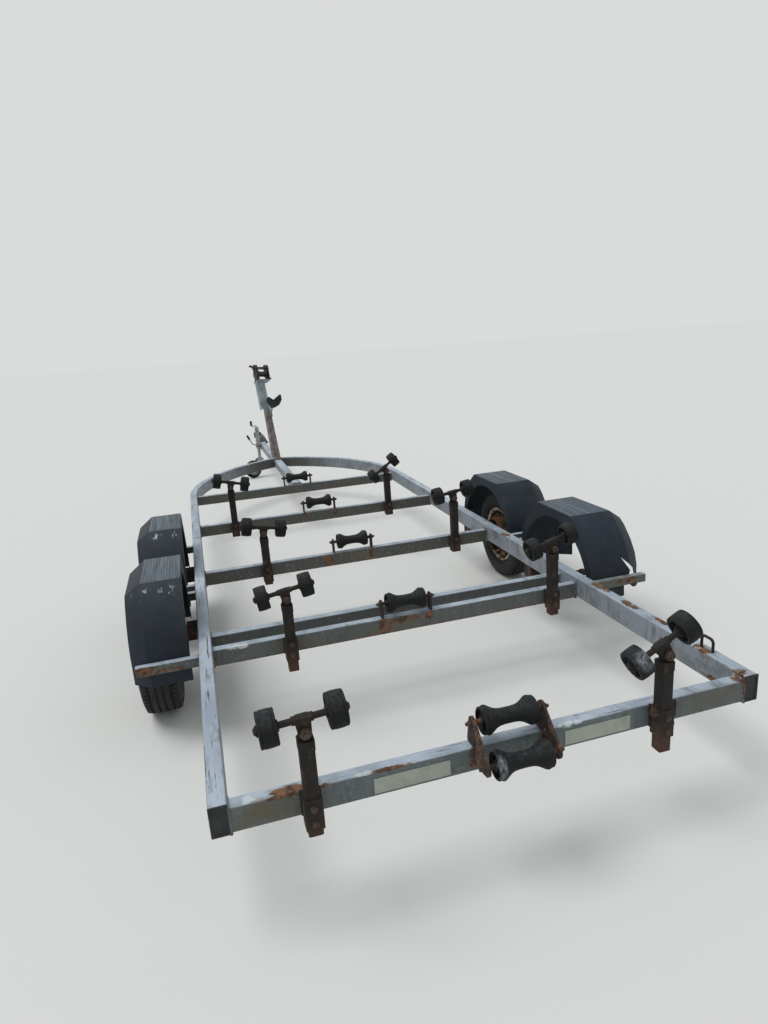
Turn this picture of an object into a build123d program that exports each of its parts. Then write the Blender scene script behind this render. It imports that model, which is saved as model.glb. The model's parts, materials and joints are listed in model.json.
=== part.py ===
# Boat trailer with two side rails that meet at the nose, two axles, four mudguards,
# eight rocking roller pairs on clamped posts and a line of keel rollers.
# Millimetres. X to the right, Y towards the coupling, Z up from the floor.
# Stations are measured forward from the rear ends of the side rails.

from build123d import *
import math
import os

# Side rails
RAIL_WIDTH = 50.0
RAIL_HEIGHT = 90.0
RAIL_BOTTOM = 300.0
FRAME_HALF_WIDTH = 850.0
RAIL_STRAIGHT = 3735.0
RAIL_BEND_RADIUS = 1465.0
TUBE_CORNER = 6.0
LOOP_STATION = 190.0
LOOP_ROD_RADIUS = 5.0
LOOP_LENGTH = 52.0
LOOP_RISE = 45.0
LOOP_BEND = 14.0

# Crossmembers: name, station of the rear face, depth, height, bottom above the rail bottom
CROSSMEMBERS = [
    ("stern", 0.0, 45.0, 75.0, 0.0),
    ("rear", 959.0, 40.0, 70.0, -7.0),
    ("brace", 1090.0, 40.0, 62.0, 1.0),
    ("centre", 1898.0, 40.0, 70.0, -7.0),
    ("front", 2854.0, 40.0, 70.0, -7.0),
    ("bow", 3778.0, 40.0, 70.0, -7.0),
]

# Drawbar and coupling: the drawbar is measured from where the rails meet
DRAWBAR_SIZE = 70.0
DRAWBAR_REACH = 1592.0
SADDLE_LENGTH = 300.0
SADDLE_WIDTH = 84.0
SADDLE_RISE = 50.0
SADDLE_SKIRT = 30.0
SHAFT_RADIUS = 25.0
SHAFT_RISE = 24.0
BELLOWS_LENGTH = 100.0
BELLOWS_FOLDS = 5
BELLOWS_RADIUS = 36.0
HEAD_AHEAD = 228.0
HEAD_RADIUS = 46.0
HEAD_DROP = 10.0
HEAD_HEIGHT = 60.0
BALL_SOCKET_RADIUS = 25.4
BALL_SOCKET_DEPTH = 34.0
BRAKE_PIVOT_AHEAD = 60.0
BRAKE_PIVOT_RISE = 50.0
BRAKE_LEVER_GAP = 18.0
BRAKE_LEVER_RADIUS = 7.0
BRAKE_LEVER_LENGTH = 572.0
BRAKE_GRIP_LENGTH = 82.0
GRIP_RADIUS = 12.0

# Roller posts: name, crossmember, X, top and bottom above the rail bottom, bar tilt in degrees
POSTS = [
    ("l4", "stern", -590.0, 288.0, -36.0, 4.0),
    ("r4", "stern", 475.0, 275.0, -66.0, 27.0),
    ("l3", "rear", -498.0, 258.0, -68.0, 9.0),
    ("r3", "rear", 666.0, 281.0, -47.0, 15.0),
    ("l2", "centre", -479.0, 263.0, -38.0, -10.0),
    ("r2", "centre", 590.0, 312.0, -20.0, 8.0),
    ("l1", "front", -576.0, 328.0, -11.0, -13.0),
    ("r1", "front", 482.0, 305.0, -16.0, 35.0),
]
POST_SIZE = 40.0
POST_WALL = 4.0
POST_CORNER = 5.0
SLEEVE_WALL = 5.0
SLEEVE_DROP = 15.0
COLLAR_LIP = 1.5
COLLAR_HEIGHT = 28.0
EAR_THICKNESS = 12.0
EAR_RADIUS = 15.0
PIVOT_RADIUS = 8.0
PIVOT_HEAD = 12.0
CHEEK_THICKNESS = 6.0
CHEEK_RADIUS = 18.0

# Rocker bars and their roller pairs
BAR_RADIUS = 9.0
BAR_ABOVE_PIVOT = 32.0
ROLLER_SPACING = 176.0
ROLLER_RADIUS = 48.0
ROLLER_WIDTH = 48.0
ROLLER_RECESS = 9.0
BAR_SLEEVE_RADIUS = 12.0
BAR_SLEEVE_LENGTH = 56.0
WASHER_RADIUS = 15.0
WASHER_THICKNESS = 4.0

# Keel rollers: name, crossmember, axle height above the rail bottom
KEEL_STATIONS = [
    ("keel_2", "rear", 122.0),
    ("keel_3", "centre", 122.0),
    ("keel_4", "front", 125.0),
    ("keel_5", "bow", 124.0),
]
KEEL_LENGTH = 165.0
KEEL_END_RADIUS = 42.0
KEEL_WAIST_RADIUS = 23.0
KEEL_AXLE_RADIUS = 8.0
KEEL_BRACKET_GAP = 206.0
KEEL_BRACKET_THICKNESS = 8.0
KEEL_BRACKET_DEPTH = 36.0
CRADLE_X = -16.0
CRADLE_UPPER = (9.0, 148.0)
CRADLE_LOWER = (-76.0, 60.0)

# Axles and wheels, measured outwards from the outer face of a side rail
REAR_AXLE = 1292.0
AXLE_SPACING = 790.0
WHEEL_CENTRE = 175.0
TYRE_RADIUS = 261.0
TYRE_WIDTH = 155.0
RIM_RADIUS = 153.0
RIM_THICKNESS = 5.0
RIM_WIDTH = 118.0
RIM_LIP = 11.0
DRUM_RADIUS = 105.0
DRUM_INNER = 82.0
DRUM_FACE = 155.0
HUB_RADIUS = 34.0
HUB_CAP = 228.0
HUB_WALL = 6.0
STUD_CIRCLE_RADIUS = 50.0
STUD_RADIUS = 6.0
STUD_LENGTH = 28.0
STUD_COUNT = 4

# Stub axle: where each step starts outside the rail, its radius
STUB_ROOT = (72.0, 27.0)
STUB_SEAT = (95.0, 20.0)
STUB_SHANK = (138.0, 16.0)
STUB_THREAD = (186.0, 12.0)
STUB_END = 212.0
ARM_LENGTH = 130.0
ARM_THICKNESS = 20.0
ARM_EYE = 32.0
HOUSING_SIZE = 70.0
HOUSING_INNER = -44.0

# Mudguards: inner edge, end of the flat top and outer edge, outside the side rail
MUDGUARD_LEFT = (36.0, 190.0, 257.0)
MUDGUARD_RIGHT = (40.0, 250.0, 323.0)
MUDGUARD_AHEAD = 20.0
MUDGUARD_DROP = 50.0
MUDGUARD_HALF_LENGTH = 330.0
MUDGUARD_FLAT_HALF = 158.0
MUDGUARD_TOP = 315.0
MUDGUARD_BOTTOM = -55.0
MUDGUARD_THICKNESS = 5.0
MUDGUARD_FLANGE_RADIUS = 308.0

# Broken lower corner of the rear right mudguard: distance outside the rail, height above the rail bottom
BREAK = [
    (210.0, 132.0), (251.0, 67.0), (236.0, 12.0), (220.0, -4.0), (223.0, -60.0),
    (340.0, -60.0), (340.0, 22.0), (300.0, 27.0), (282.0, 67.0),
]
BREAK_DEPTH = 90.0

# Mudguard bars, from the rear: height above the rail bottom
BAR_LIFTS = [10.0, 22.0, 22.0, 22.0]
BAR_DEPTH = 30.0
BAR_HEIGHT = 40.0
BAR_LENGTH_LEFT = 238.0
BAR_LENGTH_RIGHT = 313.0

# Winch post, ahead of where the rails meet, measured along its own leaning axis
WINCH_POST_AHEAD = 57.0
WINCH_POST_FOOT = 64.0
WINCH_POST_HEAD = 43.0
WINCH_POST_LENGTH = 800.0
WINCH_POST_LEAN = 20.0
WINCH_POST_SIDE_LEAN = 2.4
WINCH_POST_TURN = 20.0
BRACKET_CENTRE = -40.0
BRACKET_WIDTH = 48.0
BRACKET_START = 505.0
BRACKET_THICKNESS = 6.0
WINCH_CENTRE = 19.0
WINCH_WIDTH = 122.0
WINCH_DEPTH = 100.0
WINCH_HEIGHT = 180.0
WINCH_DRUM_RADIUS = 27.0
WINCH_FLANGE_RADIUS = 44.0

# Bow stop: across and along the post, and how far it stands behind the post's axis
BOW_STOP = [
    (-40.0, 589.0), (10.0, 554.0), (92.0, 611.0), (100.0, 600.0), (98.0, 551.0),
    (62.0, 502.0), (20.0, 484.0), (-12.0, 487.0), (-47.0, 545.0), (-50.0, 575.0),
]
BOW_STOP_NEAR = 120.0
BOW_STOP_FAR = 165.0
BOW_STOP_CORNER = 5.0
BOW_ARM_X = (8.0, 14.0)
BOW_ARM_FOOT = (420.0, 470.0)
BOW_ARM_TOP = 566.0
BOW_ARM_TIP_LOW = 500.0

# Jockey wheel, behind the end of the drawbar
JOCKEY_X = -67.0
JOCKEY_BEHIND = 475.0
JOCKEY_TUBE_RADIUS = 22.0
JOCKEY_LEG_RADIUS = 18.0
JOCKEY_TUBE_BOTTOM = 322.0
JOCKEY_TUBE_TOP = 566.0
JOCKEY_LEG_TOP = 460.0
JOCKEY_CLAMP = (334.0, 384.0)
JOCKEY_ROD_RADIUS = 6.0
JOCKEY_CROWN_TOP = 216.0
JOCKEY_CROWN_THICKNESS = 14.0
JOCKEY_SWIVEL_RADIUS = 10.0
JOCKEY_TRAIL = 100.0
JOCKEY_SWIVEL_ANGLE = 205.0
JOCKEY_WHEEL_RADIUS = 100.0
JOCKEY_WHEEL_WIDTH = 50.0
JOCKEY_FORK_PLATE = 5.0
JOCKEY_FORK_GAP = 3.0
JOCKEY_AXLE_RADIUS = 8.0

# Jockey wheel crank and clamp handle: X from the tube, height
JOCKEY_CRANK = [(0.0, 563.0), (0.0, 584.0), (-55.0, 584.0), (-55.0, 640.0)]
JOCKEY_HANDLE = [(-24.0, 362.0), (-66.0, 384.0), (-115.0, 482.0)]
JOCKEY_GRIP_SHARE = 0.45
CRANK_GRIP_LENGTH = 46.0

# Blank strips on the rear crossmember: centre X, width, height
STRIPS = [(-308.0, 220.0, 46.0), (271.0, 220.0, 46.0)]
STRIP_THICKNESS = 2.0
STRIP_BOTTOM = 10.0

# Fits
RUNNING_FIT = 0.05
SEAT_GAP = 0.3
END_PLAY = 0.5

CROSS_REAR = {name: rear for name, rear, depth, height, lift in CROSSMEMBERS}
CROSS_DEPTH = {name: depth for name, rear, depth, height, lift in CROSSMEMBERS}
CROSS_LOW = {name: RAIL_BOTTOM + lift for name, rear, depth, height, lift in CROSSMEMBERS}
CROSS_TOP = {name: RAIL_BOTTOM + lift + height for name, rear, depth, height, lift in CROSSMEMBERS}
RAIL_INNER = FRAME_HALF_WIDTH - RAIL_WIDTH
AXLE_STATIONS = [REAR_AXLE, REAR_AXLE + AXLE_SPACING]

# Where the rails meet beside the drawbar
BEND_CENTRE_X = FRAME_HALF_WIDTH - RAIL_BEND_RADIUS
NOSE_X = DRAWBAR_SIZE / 2
NOSE_STATION = RAIL_STRAIGHT + math.sqrt(RAIL_BEND_RADIUS ** 2 - (NOSE_X - BEND_CENTRE_X) ** 2)
DRAWBAR_END = NOSE_STATION + DRAWBAR_REACH
SADDLE_START = DRAWBAR_END - SADDLE_LENGTH
HEAD_STATION = DRAWBAR_END + HEAD_AHEAD
WINCH_POST_STATION = NOSE_STATION + WINCH_POST_AHEAD
JOCKEY_STATION = DRAWBAR_END - JOCKEY_BEHIND


def block(x0, x1, y0, y1, z0, z1):
    size = Box(x1 - x0, y1 - y0, z1 - z0)
    return Pos((x0 + x1) / 2, (y0 + y1) / 2, (z0 + z1) / 2) * size


def rod_x(radius, x0, x1, y, z):
    return Pos((x0 + x1) / 2, y, z) * Rot(0, 90, 0) * Cylinder(radius, x1 - x0)


def rod_y(radius, y0, y1, x, z):
    return Pos(x, (y0 + y1) / 2, z) * Rot(90, 0, 0) * Cylinder(radius, y1 - y0)


def rod_z(radius, z0, z1, x, y):
    return Pos(x, y, (z0 + z1) / 2) * Cylinder(radius, z1 - z0)


def plate_x(points, x0, x1):
    face = make_face(Polyline(*points, close=True))
    return extrude(Plane.YZ.offset(x0) * face, amount=x1 - x0)


def plate_y(points, y0, y1):
    face = make_face(Polyline(*points, close=True))
    return extrude(Plane.XZ.offset(-y1) * face, amount=y1 - y0)


def around(circles):
    # Outline drawn taut around circles of (across, up, radius)
    edges = [edge for u, v, radius in circles for edge in (Pos(u, v) * Circle(radius)).edges()]
    return make_hull(edges)


def lug_x(circles, x0, x1):
    return extrude(Plane.YZ.offset(x0) * around(circles), amount=x1 - x0)


def lug_y(circles, y0, y1):
    return extrude(Plane.XZ.offset(-y1) * around(circles), amount=y1 - y0)


def tube_bar(x0, x1, y0, y1, z0, z1, along, corner):
    bar = block(x0, x1, y0, y1, z0, z1)
    return fillet(bar.edges().filter_by(along), corner)


def bent_rod(points, bend, radius):
    path = FilletPolyline(*points, radius=bend)
    start = Plane(origin=path @ 0, z_dir=path % 0)
    return sweep(start * Circle(radius), path=path)


def rod_between(start, end, radius):
    line = Line(start, end)
    return Plane(origin=line @ 0.5, z_dir=line % 0) * Cylinder(radius, line.length)


def ring_x(points, x):
    # Turns an outline of (distance along X, radius) points about the X axis
    face = make_face(Plane.XY * Polyline(*points, close=True))
    return Pos(x, 0, 0) * revolve(face, axis=Axis.X)


def mirrored(shape):
    return mirror(shape, about=Plane.YZ)


# Frame

def side_rail(side):
    # The tube is drawn along its bend and cut flat where it meets the drawbar
    x = side * (FRAME_HALF_WIDTH - RAIL_WIDTH / 2)
    radius = RAIL_BEND_RADIUS - RAIL_WIDTH / 2
    turn = side * math.degrees(math.acos((NOSE_X - RAIL_WIDTH - BEND_CENTRE_X) / radius))
    first = 90 - 90 * side
    bend = CenterArc((side * BEND_CENTRE_X, RAIL_STRAIGHT), radius, first, turn)
    path = Line((x, 0), (x, RAIL_STRAIGHT)) + bend
    start = Plane(origin=(x, 0, 0), x_dir=(1, 0, 0), z_dir=(0, 1, 0))
    rail = sweep(start * RectangleRounded(RAIL_WIDTH, RAIL_HEIGHT, TUBE_CORNER), path=path)
    size = Box(2 * RAIL_WIDTH + DRAWBAR_SIZE, RAIL_STRAIGHT, 2 * RAIL_HEIGHT)
    past = Pos(-side * RAIL_WIDTH, 1.5 * RAIL_STRAIGHT, 0) * size
    return Pos(0, 0, RAIL_BOTTOM + RAIL_HEIGHT / 2) * (rail - past)


def side_rails():
    return [side_rail(1), side_rail(-1)]


def tie_loop():
    x = FRAME_HALF_WIDTH - RAIL_WIDTH / 2
    z0 = RAIL_BOTTOM + RAIL_HEIGHT
    z1 = z0 + LOOP_RISE
    y0 = LOOP_STATION - LOOP_LENGTH / 2
    y1 = LOOP_STATION + LOOP_LENGTH / 2
    return bent_rod([(x, y0, z0), (x, y0, z1), (x, y1, z1), (x, y1, z0)], LOOP_BEND, LOOP_ROD_RADIUS)


def inside_bend():
    radius = RAIL_BEND_RADIUS - RAIL_WIDTH
    disc = rod_z(radius, RAIL_BOTTOM - RAIL_HEIGHT, RAIL_BOTTOM + RAIL_HEIGHT, BEND_CENTRE_X, RAIL_STRAIGHT)
    return disc & mirrored(disc)


def crossmembers():
    pieces = []
    for name, rear, depth, height, lift in CROSSMEMBERS:
        z0 = RAIL_BOTTOM + lift
        bar = tube_bar(-RAIL_INNER, RAIL_INNER, rear, rear + depth, z0, z0 + height, Axis.X, TUBE_CORNER)
        if rear > RAIL_STRAIGHT:
            bar = bar & inside_bend()
        pieces.append(bar)
    return pieces


def drawbar():
    half = DRAWBAR_SIZE / 2
    start = CROSS_REAR["bow"] + CROSS_DEPTH["bow"]
    top = RAIL_BOTTOM + DRAWBAR_SIZE
    return tube_bar(-half, half, start, DRAWBAR_END, RAIL_BOTTOM, top, Axis.Y, TUBE_CORNER)


# Coupling

def saddle():
    top = RAIL_BOTTOM + DRAWBAR_SIZE
    half = SADDLE_WIDTH / 2
    bar = DRAWBAR_SIZE / 2
    y0 = SADDLE_START
    y1 = DRAWBAR_END
    crest = top + SADDLE_RISE
    low = top - SADDLE_SKIRT
    outline = [
        (y0, low), (y0, top + 10), (y0 + 70, crest - 6), (y0 + 130, crest), (y1 - 30, crest),
        (y1 + 10, crest - 8), (y1 + 10, low), (y1 - 60, low), (y1 - 80, low + 14), (y0 + 90, low + 14),
        (y0 + 70, low),
    ]
    shell = plate_x(outline, -half, half)
    shell = fillet(shell.edges().filter_by(Axis.Y).group_by(Axis.Z)[-1], TUBE_CORNER)
    return shell - block(-bar, bar, y0, y1, RAIL_BOTTOM, top)


def bellows():
    fold = BELLOWS_LENGTH / BELLOWS_FOLDS
    points = [(0, SHAFT_RADIUS - 2)]
    for i in range(BELLOWS_FOLDS):
        points.append((i * fold, BELLOWS_RADIUS - 7))
        points.append((i * fold + fold / 2, BELLOWS_RADIUS))
    points.append((BELLOWS_LENGTH, BELLOWS_RADIUS - 7))
    points.append((BELLOWS_LENGTH, SHAFT_RADIUS - 2))
    return Rot(0, 0, 90) * ring_x(points, 0)


def coupling_head(base):
    rear = (0, HEAD_STATION - 96, SHAFT_RADIUS + 3)
    front = (0, HEAD_STATION, HEAD_RADIUS)
    head = Pos(0, 0, base) * extrude(around([rear, front]), amount=HEAD_HEIGHT)
    head = fillet(head.edges().group_by(Axis.Z)[-1], 8)
    crest = base + HEAD_HEIGHT
    y = HEAD_STATION
    handle = plate_x([(y - 150, crest - 4), (y - 150, crest + 8), (y - 60, crest + 30), (y + 4, crest + 28),
                      (y + 20, crest - 4)], -13, 13)
    return head + handle - rod_z(BALL_SOCKET_RADIUS, base, base + BALL_SOCKET_DEPTH, 0, y)


def brake_lever():
    y = SADDLE_START + BRAKE_PIVOT_AHEAD
    z = RAIL_BOTTOM + BRAKE_PIVOT_RISE
    half = SADDLE_WIDTH / 2
    x = half + BRAKE_LEVER_GAP
    end = y + BRAKE_LEVER_LENGTH
    middle = y + BRAKE_LEVER_LENGTH * 0.44
    grip = end - BRAKE_GRIP_LENGTH
    rod = bent_rod([(x, y, z), (x, middle, z + 28), (x, grip + 20, z + 16)], 120, BRAKE_LEVER_RADIUS)
    rod += rod_y(GRIP_RADIUS, grip, end, x, z + 16)
    pivot = rod_x(10, half - 4, x + BRAKE_LEVER_RADIUS + 4, y, z)
    return rod + pivot + lug_x([(y, z, 18), (y + 60, z + 12, 12), (y + 20, z + 40, 10)], half - 1, half + 6)


def coupling():
    top = RAIL_BOTTOM + DRAWBAR_SIZE
    shaft_z = top + SHAFT_RISE
    shaft = rod_y(SHAFT_RADIUS, DRAWBAR_END, HEAD_STATION - 60, 0, shaft_z)
    gaiter = Pos(0, DRAWBAR_END + 9, shaft_z) * bellows()
    return saddle() + shaft + gaiter + coupling_head(top - HEAD_DROP) + brake_lever()


# Roller posts and rockers

def bar_height(top):
    return RAIL_BOTTOM + top + 10


def post_y(cross):
    return CROSS_REAR[cross] - SLEEVE_WALL - POST_SIZE / 2


def square_tube(half, wall, z0, z1):
    outer = tube_bar(-half, half, -half, half, z0, z1, Axis.Z, POST_CORNER)
    inner = half - wall
    return outer - block(-inner, inner, -inner, inner, z0, z1)


def roller_post(cross, x, top, bottom):
    half = POST_SIZE / 2
    pivot_z = bar_height(top) - BAR_ABOVE_PIVOT
    tube_top = pivot_z - CHEEK_RADIUS - 6
    unit = square_tube(half, POST_WALL, RAIL_BOTTOM + bottom, tube_top - POST_WALL)
    collar = half + COLLAR_LIP
    collar_low = tube_top - COLLAR_HEIGHT
    unit += tube_bar(-collar, collar, -collar, collar, collar_low, tube_top, Axis.Z, POST_CORNER)
    ear_half = EAR_THICKNESS / 2
    unit += lug_y([(0, pivot_z, EAR_RADIUS), (-14, tube_top, 6), (14, tube_top, 6)], -ear_half, ear_half)
    reach = ear_half + SEAT_GAP + CHEEK_THICKNESS + SEAT_GAP
    unit += rod_y(PIVOT_RADIUS, -reach, reach, 0, pivot_z)
    unit += rod_y(PIVOT_HEAD, -reach - 7, -reach, 0, pivot_z)
    unit += rod_y(PIVOT_HEAD, reach, reach + 7, 0, pivot_z)
    sleeve_bottom = CROSS_LOW[cross] - SLEEVE_DROP
    unit += square_tube(half + SLEEVE_WALL, SLEEVE_WALL + 1, sleeve_bottom, CROSS_TOP[cross])
    return Pos(x, post_y(cross), 0) * unit


def roller_posts():
    return [roller_post(cross, x, top, bottom) for name, cross, x, top, bottom, tilt in POSTS]


def rocker_frame(post):
    name, cross, x, top, bottom, tilt = post
    return Pos(x, post_y(cross), bar_height(top) - BAR_ABOVE_PIVOT) * Rot(0, -tilt, 0)


def rocker(post):
    half_bar = ROLLER_SPACING / 2 + ROLLER_WIDTH / 2 + END_PLAY + WASHER_THICKNESS
    height = BAR_ABOVE_PIVOT
    bar = rod_x(BAR_RADIUS, -half_bar, half_bar, 0, height)
    bar += rod_x(BAR_SLEEVE_RADIUS, -BAR_SLEEVE_LENGTH / 2, BAR_SLEEVE_LENGTH / 2, 0, height)
    for side in (-1, 1):
        for face in (-1, 1):
            edge = side * (ROLLER_SPACING / 2 + face * (ROLLER_WIDTH / 2 + END_PLAY))
            far = edge + side * face * WASHER_THICKNESS
            bar += rod_x(WASHER_RADIUS, min(edge, far), max(edge, far), 0, height)
    near = EAR_THICKNESS / 2 + SEAT_GAP
    far = near + CHEEK_THICKNESS
    for side in (-1, 1):
        y0 = min(side * near, side * far)
        y1 = max(side * near, side * far)
        cheek = lug_y([(0, 0, CHEEK_RADIUS), (-12, height, BAR_RADIUS), (12, height, BAR_RADIUS)], y0, y1)
        bar += cheek - rod_y(PIVOT_RADIUS + RUNNING_FIT, y0, y1, 0, 0)
    return rocker_frame(post) * bar


def roller():
    half = ROLLER_WIDTH / 2
    bore = BAR_RADIUS + RUNNING_FIT
    web = half - ROLLER_RECESS
    points = [
        (-half, bore), (-half, WASHER_RADIUS + 3), (-web, WASHER_RADIUS + 6),
        (-web, ROLLER_RADIUS - 16), (-half, ROLLER_RADIUS - 12), (-half, ROLLER_RADIUS - 4),
        (-half + 5, ROLLER_RADIUS), (half - 5, ROLLER_RADIUS), (half, ROLLER_RADIUS - 4),
        (half, ROLLER_RADIUS - 12), (web, ROLLER_RADIUS - 16), (web, WASHER_RADIUS + 6),
        (half, WASHER_RADIUS + 3), (half, bore),
    ]
    return ring_x(points, 0)


def roller_pair(post):
    place = rocker_frame(post)
    one = roller()
    return [place * Pos(side * ROLLER_SPACING / 2, 0, BAR_ABOVE_PIVOT) * one for side in (-1, 1)]


# Keel rollers

def keel_axles():
    axles = []
    for name, cross, height in KEEL_STATIONS:
        y = CROSS_REAR[cross] + CROSS_DEPTH[cross] / 2
        axles.append((name, 0, y, RAIL_BOTTOM + height))
    axles.append(("keel_upper", CRADLE_X, CRADLE_UPPER[0], RAIL_BOTTOM + CRADLE_UPPER[1]))
    axles.append(("keel_lower", CRADLE_X, CRADLE_LOWER[0], RAIL_BOTTOM + CRADLE_LOWER[1]))
    return axles


def keel_roller(x, y, z):
    half = KEEL_LENGTH / 2
    bore = KEEL_AXLE_RADIUS + RUNNING_FIT
    waist = KEEL_WAIST_RADIUS
    end = KEEL_END_RADIUS
    points = [
        (-half, bore), (-half, end - 3), (-half + 4, end), (-half + 16, end - 1),
        (-half + 38, waist + 4), (-half + 54, waist), (half - 54, waist),
        (half - 38, waist + 4), (half - 16, end - 1), (half - 4, end), (half, end - 3),
        (half, bore),
    ]
    return Pos(x, y, z) * ring_x(points, 0)


def keel_brackets():
    pieces = []
    inner = KEEL_BRACKET_GAP / 2
    outer = inner + KEEL_BRACKET_THICKNESS
    half = KEEL_BRACKET_DEPTH / 2
    for name, cross, height in KEEL_STATIONS:
        y = CROSS_REAR[cross] + CROSS_DEPTH[cross] / 2
        z = RAIL_BOTTOM + height
        unit = rod_x(KEEL_AXLE_RADIUS, -outer - 6, outer + 6, y, z)
        for side in (-1, 1):
            x0 = min(side * inner, side * outer)
            x1 = max(side * inner, side * outer)
            unit += block(x0, x1, y - half, y + half, CROSS_TOP[cross], z)
            unit += rod_x(half, x0, x1, y, z)
        pieces.append(unit)
    return pieces


def rear_cradle():
    inner = KEEL_BRACKET_GAP / 2
    outer = inner + KEEL_BRACKET_THICKNESS
    top = CROSS_TOP["stern"]
    up_y = CRADLE_UPPER[0]
    up_z = RAIL_BOTTOM + CRADLE_UPPER[1]
    low_y = CRADLE_LOWER[0]
    low_z = RAIL_BOTTOM + CRADLE_LOWER[1]
    upper_eye = (up_y, up_z, 20)
    lower_eye = (low_y, low_z, 23)
    cradle = rod_x(KEEL_AXLE_RADIUS, -outer - 8, outer + 8, up_y, up_z)
    cradle += rod_x(KEEL_AXLE_RADIUS, -outer - 8, outer + 8, low_y, low_z)
    for side in (-1, 1):
        x0 = min(side * inner, side * outer)
        x1 = max(side * inner, side * outer)
        cradle += lug_x([upper_eye, (8, top + 8, 8), (35, top + 8, 8)], x0, x1)
        cradle += lug_x([upper_eye, lower_eye], x0, x1)
        cradle += lug_x([lower_eye, (-9, top - 12, 9), (-9, top - 40, 9)], x0, x1)
    return Pos(CRADLE_X, 0, 0) * cradle


# Wheels, hubs and suspension

def tyre():
    half = TYRE_WIDTH / 2
    bead = RIM_WIDTH / 2 - 6 - SEAT_GAP
    seat = RIM_RADIUS + SEAT_GAP
    points = [
        (-bead, seat), (-bead, seat + RIM_LIP + 3), (-half + 4, seat + 40), (-half, TYRE_RADIUS - 48),
        (-half + 8, TYRE_RADIUS - 18), (-half + 26, TYRE_RADIUS - 4), (-20, TYRE_RADIUS),
        (20, TYRE_RADIUS), (half - 26, TYRE_RADIUS - 4), (half - 8, TYRE_RADIUS - 18),
        (half, TYRE_RADIUS - 48), (half - 4, seat + 40), (bead, seat + RIM_LIP + 3), (bead, seat),
    ]
    return ring_x(points, WHEEL_CENTRE)


def hub_drum():
    fit = RUNNING_FIT
    wall = 10
    cap = HUB_RADIUS - 8
    thread = STUB_THREAD[0] + 1
    points = [
        (DRUM_INNER, DRUM_RADIUS - wall), (DRUM_INNER, DRUM_RADIUS),
        (DRUM_FACE - 8, DRUM_RADIUS), (DRUM_FACE, DRUM_RADIUS - 8),
        (DRUM_FACE, HUB_RADIUS), (DRUM_FACE + 30, HUB_RADIUS), (DRUM_FACE + 34, cap),
        (HUB_CAP - 7, cap), (HUB_CAP, cap - 7), (HUB_CAP, 0), (HUB_CAP - HUB_WALL, 0),
        (HUB_CAP - HUB_WALL, cap - HUB_WALL), (thread, cap - HUB_WALL), (thread, STUB_SHANK[1] + fit),
        (STUB_SHANK[0], STUB_SHANK[1] + fit), (STUB_SHANK[0], STUB_SEAT[1] + fit),
        (STUB_SEAT[0] + 1, STUB_SEAT[1] + fit), (STUB_SEAT[0] + 1, HUB_RADIUS),
        (DRUM_FACE - wall, HUB_RADIUS), (DRUM_FACE - wall, DRUM_RADIUS - wall),
    ]
    return ring_x(points, 0)


def studs():
    pieces = []
    for i in range(STUD_COUNT):
        turn = math.radians(45 + 360 * i / STUD_COUNT)
        y = STUD_CIRCLE_RADIUS * math.cos(turn)
        z = STUD_CIRCLE_RADIUS * math.sin(turn)
        pieces.append(rod_x(STUD_RADIUS, DRUM_FACE - 4, DRUM_FACE + STUD_LENGTH, y, z))
    return pieces


def rim():
    half = RIM_WIDTH / 2
    inner = RIM_RADIUS - RIM_THICKNESS
    lip = RIM_RADIUS + RIM_LIP
    x = WHEEL_CENTRE
    disc = DRUM_FACE
    points = [
        (x - half, lip), (x - half, lip - 4), (x - half + 6, inner), (x - 24, inner),
        (x - 18, inner - 14), (x + 4, inner - 14), (disc + 6, DRUM_RADIUS - 6),
        (disc, DRUM_RADIUS - 14), (disc, HUB_RADIUS + 1), (disc + 5, HUB_RADIUS + 1),
        (disc + 5, DRUM_RADIUS - 16), (disc + 12, DRUM_RADIUS - 8), (x + 10, inner - 14),
        (x + 26, inner - 14), (x + 30, inner), (x + half - 6, inner), (x + half, lip - 4),
        (x + half, lip), (x + half - 4, lip), (x + half - 6, RIM_RADIUS),
        (x - half + 6, RIM_RADIUS), (x - half + 4, lip),
    ]
    return ring_x(points, 0)


def road_wheel():
    wheel = rim() + hub_drum()
    for stud in studs():
        wheel += stud
    return wheel


def stub_axle():
    points = [(STUB_ROOT[0], 0), STUB_ROOT, (STUB_SEAT[0], STUB_ROOT[1]), STUB_SEAT]
    points += [(STUB_SHANK[0], STUB_SEAT[1]), STUB_SHANK, (STUB_THREAD[0], STUB_SHANK[1]), STUB_THREAD]
    points += [(STUB_END - 2, STUB_THREAD[1]), (STUB_END, STUB_THREAD[1] - 2), (STUB_END, 0)]
    return ring_x(points, 0)


def suspension_unit():
    z = TYRE_RADIUS
    arm_x = STUB_ROOT[0]
    housing_x = arm_x - ARM_THICKNESS
    y = ARM_LENGTH
    half = HOUSING_SIZE / 2
    low = RAIL_BOTTOM - HOUSING_SIZE
    unit = tube_bar(HOUSING_INNER, housing_x, y - half, y + half, low, RAIL_BOTTOM, Axis.X, TUBE_CORNER)
    unit += lug_x([(0, z, ARM_EYE), (y, low + half, half - 4)], housing_x, arm_x)
    return unit + Pos(0, 0, z) * stub_axle()


def beside_rail(shape, station, side, height):
    placed = Pos(FRAME_HALF_WIDTH, station, height) * shape
    if side < 0:
        placed = mirrored(placed)
    return placed


def suspension_units():
    pieces = []
    for station in AXLE_STATIONS:
        for side in (-1, 1):
            pieces.append(beside_rail(suspension_unit(), station, side, 0))
    return pieces


# Mudguards and their bars

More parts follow.
